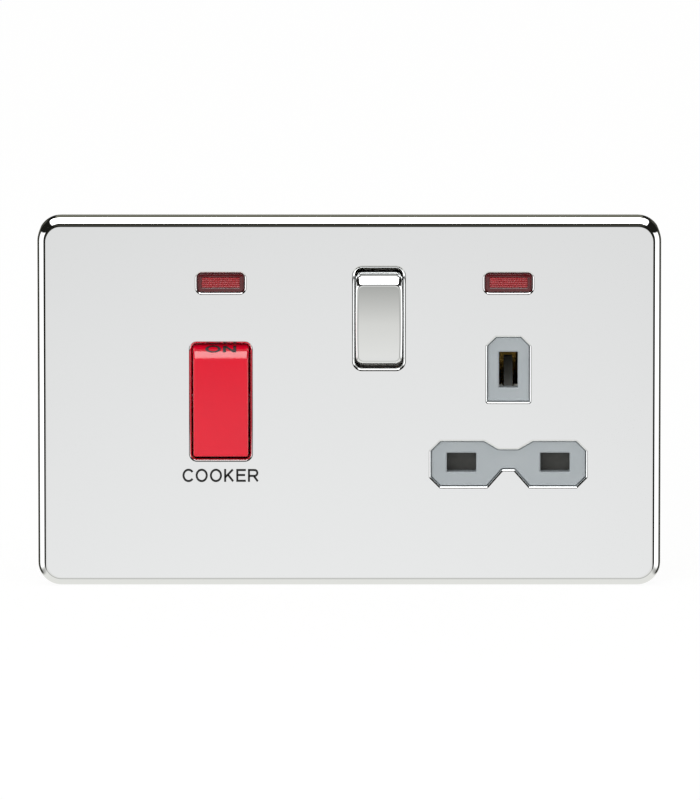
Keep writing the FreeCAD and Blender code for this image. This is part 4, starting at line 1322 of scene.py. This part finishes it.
@dataclass
class ShutterSpring:
    """The shutter's return spring, which shortens as the shutter comes down on it; the copy keeps
    the imported shape.
    """

    node: str = "shutter_spring"
    joint: str = "shutter_slide"
    keep: float = 0.28

    def build(self, packed: Piece) -> None:
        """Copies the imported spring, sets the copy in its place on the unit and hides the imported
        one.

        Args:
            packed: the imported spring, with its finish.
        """
        piece = stand(f"{self.node}_dressed", packed.data.copy())
        piece.matrix_world = packed.matrix_world
        settle(piece, Body.UNIT, Slot.SPRING, self.node)
        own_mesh(piece)


# The studio


# Tones that the chrome mirrors
DARK, BEHIND, PALE, PAPER, WHITE = "#1C1C19", "#3A3A34", "#F0F0EC", "#F4F4F2", "#FFFFFF"


@dataclass(frozen=True)
class Sector:
    """One part of what the chrome mirrors, by how high it lies.

    Its stops run from straight ahead of the plate, 0, to straight behind it, 1. A lean of 1 is
    upward, 0 level and -1 downward, and the sector fades in from its first lean to its second.
    """

    strength: float
    stops: tuple[tuple[float, str], ...]
    lean: tuple[float, float]


SIDE_BOXES = Sector(
    1.5, ((0.05, DARK), (0.18, DARK), (0.2, WHITE), (0.53, WHITE), (0.57, BEHIND)), (0.36, 0.3)
)
TOP_BOX = Sector(
    4.4, ((0.05, DARK), (0.235, DARK), (0.255, WHITE), (0.89, WHITE), (0.925, BEHIND)), (0.82, 0.87)
)
LOW_WALLS = Sector(
    1.0,
    ((0.05, DARK), (0.18, DARK), (0.2, "#D4D4D1"), (0.5, "#A6A6A3"), (0.57, BEHIND)),
    (-0.32, -0.5),
)
NEAR_FLOOR = ((0.015, DARK), (0.03, PAPER), (0.085, PAPER))
FAR_FLOOR = ((0.125, "#E4E4E1"), (0.17, "#A9AAA7"), (0.21, PALE))
SECTORS = (SIDE_BOXES, TOP_BOX, LOW_WALLS, Sector(1.0, NEAR_FLOOR + FAR_FLOOR, (-0.6, -0.7)))


@dataclass
class Studio:
    """A pale floor, a soft lamp, the surroundings that the chrome mirrors, and the camera.

    The pool is the pale patch in front of the plate that its flat face mirrors. Its angles, from
    its middle, are where it fades out and in, and where its glow starts and is full.
    """

    distance_m: float = 3.0
    elevation: float = 8.0
    frame_height: float = 190.0
    sensor: float = 36.0
    clip_end_m: float = 100.0
    aim: tuple[float, float, float] = (0.17, -8.0, 0.6)
    floor_half_m: float = 2.5
    floor_white: float = 0.88
    floor_glow: float = 1.03
    level: float = 0.8
    lamp_power: float = 7.6
    lamp_size_m: float = 0.9
    lamp_place_m: tuple[float, float, float] = (-0.5, -1.15, 0.2)
    pool_elevation: float = -10.5
    pool_edge: tuple[float, float] = (6.5, 4.5)
    pool_glow: tuple[float, float] = (3.8, 1.6)
    pool_levels: tuple[float, float] = (0.82, 0.95)

    def build(self, floor_z: float) -> None:
        """Makes the camera, the lamp, the floor and the world.

        Args:
            floor_z: the floor's height, in metres.
        """
        self.add_camera()
        self.add_lamp()
        self.add_floor(floor_z)
        self.add_world()
        bpy.context.scene.view_settings.view_transform = "Standard"

    def add_camera(self) -> None:
        """Sets the long lens in front of the plate and a little above it."""
        data = bpy.data.cameras.new("front_camera")
        data.sensor_width = self.sensor
        data.lens = self.sensor * self.distance_m / (self.frame_height * MM)
        data.clip_end = self.clip_end_m
        camera = stand("front_camera", data)
        tilt = math.radians(self.elevation)
        back = Vector((0.0, -math.cos(tilt), math.sin(tilt)))
        camera.location = Vector(self.aim) * MM + back * self.distance_m
        camera.rotation_euler = (-back).to_track_quat("-Z", "Y").to_euler()
        bpy.context.scene.camera = camera

    def add_lamp(self) -> None:
        """Hangs one broad soft lamp in front, a little above and to the left."""
        data = bpy.data.lights.new("soft_lamp", "AREA")
        data.size = self.lamp_size_m
        data.energy = self.lamp_power
        lamp = stand("soft_lamp", data)
        lamp.location = self.lamp_place_m
        lamp.rotation_euler = (-lamp.location).to_track_quat("-Z", "Y").to_euler()
        lamp.visible_glossy = False
        lamp.visible_camera = False

    def add_floor(self, floor_z: float) -> None:
        """Lays the pale floor, white to the camera apart from a faint shadow.

        Args:
            floor_z: the floor's height, in metres.
        """
        half = self.floor_half_m
        mesh = bpy.data.meshes.new("floor")
        edges = [(-half, -half), (half, -half), (half, half), (-half, half)]
        mesh.from_pydata([(x, y, floor_z) for x, y in edges], [], [(0, 1, 2, 3)])
        made = bpy.data.materials.new("matt_white_paper")
        tree = blank_tree(made)
        camera_ray = add_node(tree, "ShaderNodeLightPath").outputs["Is Camera Ray"]
        share = {0: camera_ray, 1: self.floor_white}
        seen = add_node(tree, "ShaderNodeMath", share, operation="MULTIPLY")
        paper = add_node(tree, "ShaderNodeBsdfDiffuse", {"Color": linear(PAPER)})
        white = add_node(tree, "ShaderNodeEmission", {"Strength": self.floor_glow})
        mixed = add_node(tree, "ShaderNodeMixShader", {0: seen, 1: paper, 2: white})
        add_node(tree, "ShaderNodeOutputMaterial", {"Surface": mixed})
        mesh.materials.append(made)
        floor = stand("floor", mesh)
        floor.visible_glossy = False
        floor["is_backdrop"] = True

    def add_world(self) -> None:
        """Surrounds the unit with white to the camera, even light, and softboxes to the chrome."""
        world = bpy.data.worlds.new("studio")
        bpy.context.scene.world = world
        tree = blank_tree(world)
        ray = add_node(tree, "ShaderNodeLightPath").outputs
        sky: Any = (self.level, self.level, self.level, 1.0)
        for kind, seen in (("Glossy", self.add_softboxes(tree)), ("Camera", linear(WHITE))):
            layers = {MIX_FACTOR: ray[f"Is {kind} Ray"], MIX_A: sky, MIX_B: seen}
            sky = add_node(tree, "ShaderNodeMix", layers, data_type="RGBA").outputs[MIX_RESULT]
        light = add_node(tree, "ShaderNodeBackground", {"Color": sky, "Strength": 1.0})
        add_node(tree, "ShaderNodeOutputWorld", {"Surface": light})

    def add_softboxes(self, tree: Tree) -> Socket:
        """Lays out what the chrome mirrors: boxes above and at the sides, a floor, dark between.

        Args:
            tree: the world's nodes.

        Returns:
            The colour in each direction.
        """
        place = add_node(tree, "ShaderNodeTexCoord").outputs["Generated"]
        way = add_node(tree, "ShaderNodeSeparateXYZ", {0: place}).outputs
        ahead = add_node(tree, "ShaderNodeMath", {0: way["Y"], 1: -1.0}, operation="MULTIPLY")
        angle = add_node(tree, "ShaderNodeMath", {0: ahead}, operation="ARCCOSINE")
        turn = add_node(tree, "ShaderNodeMath", {0: angle, 1: math.pi}, operation="DIVIDE")
        across = add_node(tree, "ShaderNodeMath", {0: angle}, operation="SINE")
        lean = add_node(tree, "ShaderNodeMath", {0: way["Z"], 1: across}, operation="DIVIDE")
        colour: Any = linear(DARK)
        for sector in SECTORS:
            ramp = add_node(tree, "ShaderNodeValToRGB", {"Fac": turn})
            set_stops(ramp, sector.stops)
            power = {0: ramp, "Scale": sector.strength}
            shine = add_node(tree, "ShaderNodeVectorMath", power, operation="SCALE")
            span = dict(zip(SPAN, sector.lean))
            share = add_node(tree, "ShaderNodeMapRange", {"Value": lean, **span})
            layers = {MIX_FACTOR: share, MIX_A: colour, MIX_B: shine}
            colour = add_node(tree, "ShaderNodeMix", layers, data_type="RGBA").outputs[MIX_RESULT]
        down = math.radians(self.pool_elevation)
        middle = (0.0, -math.cos(down), math.sin(down))
        ways = {0: place, 1: middle}
        near = add_node(tree, "ShaderNodeVectorMath", ways, operation="DOT_PRODUCT")
        closeness = near.outputs["Value"]
        fades = []
        for angles, levels in ((self.pool_edge, (0.0, 1.0)), (self.pool_glow, self.pool_levels)):
            limits = [math.cos(math.radians(degrees)) for degrees in angles]
            span = dict(zip(SPAN, (*limits, *levels)))
            fades.append(add_node(tree, "ShaderNodeMapRange", {"Value": closeness, **span}))
        layers = {MIX_FACTOR: fades[0], MIX_A: colour, MIX_B: fades[1]}
        return add_node(tree, "ShaderNodeMix", layers, data_type="RGBA").outputs[MIX_RESULT]


# The whole unit


@dataclass
class CookerUnit:
    """The dressed unit: plate, socket front, rockers, lenses and print."""

    socket: SocketFront = field(default_factory=SocketFront)
    cooker_centre: Size = (-30.5, 0.3)
    switch_centre: Size = (7.05, 20.2)
    neon_z: float = 28.65
    neon_opening: Size = (11.35, 4.75)
    neon_corner: float = 1.2
    cooker_opening: Size = (13.8, 27.6)
    cooker_corner: float = 1.2
    switch_opening: Size = (11.4, 23.95)
    switch_corner: float = 1.7
    rocker_lip: float = 0.7
    small_lip: float = 0.45
    word_centre: Size = (-30.6, -17.5)
    on_from_edge: float = 4.0

    def neon_centres(self) -> list[Size]:
        """The middles of the cooker's lamp and of the socket's."""
        return [(x, self.neon_z) for x in (self.cooker_centre[0], self.socket.centre_x)]

    def openings(self) -> list[tuple[Loop, float]]:
        """The plate's six openings.

        Returns:
            Their outlines, each with the radius of its rolled lip.
        """
        cooker = mirrored(rounded(self.cooker_opening, self.cooker_corner), *self.cooker_centre)
        switch = mirrored(rounded(self.switch_opening, self.switch_corner), *self.switch_centre)
        neon = rounded(self.neon_opening, self.neon_corner)
        lamps = [mirrored(neon, *centre) for centre in self.neon_centres()]
        small = [*lamps, self.socket.earth_outline(), self.socket.line_outline()]
        broad = [(opening, self.rocker_lip) for opening in (cooker, switch)]
        return broad + [(opening, self.small_lip) for opening in small]

    def rockers(self) -> tuple[Rocker, Rocker]:
        """The red cooker rocker and the chrome socket rocker.

        Returns:
            Both rockers.
        """
        cooker = Rocker(
            "cooker_rocker",
            Body.COOKER_ROCKER,
            Slot.RED,
            RED_ABS,
            self.cooker_centre,
            base=(13.4, 27.8),
            face=(12.95, 24.2),
            rise=8.6,
            edge_round=0.45,
            side_round=0.35,
            corner=0.6,
            dish=0.35,
            bulge=0.0,
        )
        switch = Rocker(
            "socket_rocker",
            Body.SOCKET_ROCKER,
            Slot.CHROME_ROCKER,
            CHROME_ABS,
            self.switch_centre,
            base=(11.36, 23.9),
            face=(10.8, 19.4),
            rise=8.0,
            edge_round=0.55,
            side_round=0.85,
            corner=1.5,
            dish=0.3,
            bulge=0.12,
        )
        return cooker, switch

    def build(self) -> None:
        """Builds every dressed piece in order."""
        FrontPlate(self.openings()).build()
        self.socket.build()
        rockers = self.rockers()
        for rocker in rockers:
            rocker.build()
        for node, centre in zip(("cooker_neon_lens", "socket_neon_lens"), self.neon_centres()):
            NeonLens(node, centre).build()
        self.print_words(rockers[0])

    def print_words(self, cooker: Rocker) -> None:
        """Prints the function's name on the plate and ON on the red rocker's upper slope.

        Args:
            cooker: the red rocker.
        """
        upright = Matrix.Rotation(math.radians(90.0), 4, "X")
        x, z = self.word_centre
        on_plate = Matrix.Translation((x, box_mm("front_plate")[0].y, z)) @ upright
        function = Print("COOKER", "function_word", width=18.1, height=3.1)
        function.build(on_plate, Body.UNIT)
        run = (cooker.base[1] - cooker.face[1]) / 2
        slope = math.atan2(cooker.rise - cooker.shoulder, run)
        down_slope = Vector((0.0, math.sin(slope), math.cos(slope))) * self.on_from_edge
        spot = Vector((0.0, -cooker.rise, cooker.face[1] / 2)) + down_slope
        lean = Matrix.Rotation(math.radians(90.0) - slope, 4, "X")
        on_slope = cooker.matrix() @ Matrix.Translation(spot) @ lean
        state = Print("ON", "on_word", width=7.2, height=2.9, weight=1.25)
        state.build(on_slope, Body.COOKER_ROCKER)


def corners(bounds: tuple[Vector, Vector]) -> list[list[float]]:
    """A box's two corners as plain lists."""
    return [list(corner) for corner in bounds]


def main() -> None:
    """Loads the frame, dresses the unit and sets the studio."""
    logging.basicConfig(level=logging.INFO, format="%(name)s %(message)s")
    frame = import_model()
    cad_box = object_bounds()
    dress_nodes(frame["nodes"])
    ShutterSpring().build(frame["nodes"]["shutter_spring"])
    CookerUnit().build()
    Studio().build(cad_box[0].z)
    {"cad": corners(cad_box), "visual": corners(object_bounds())}


if __name__ == "__main__":
    main()
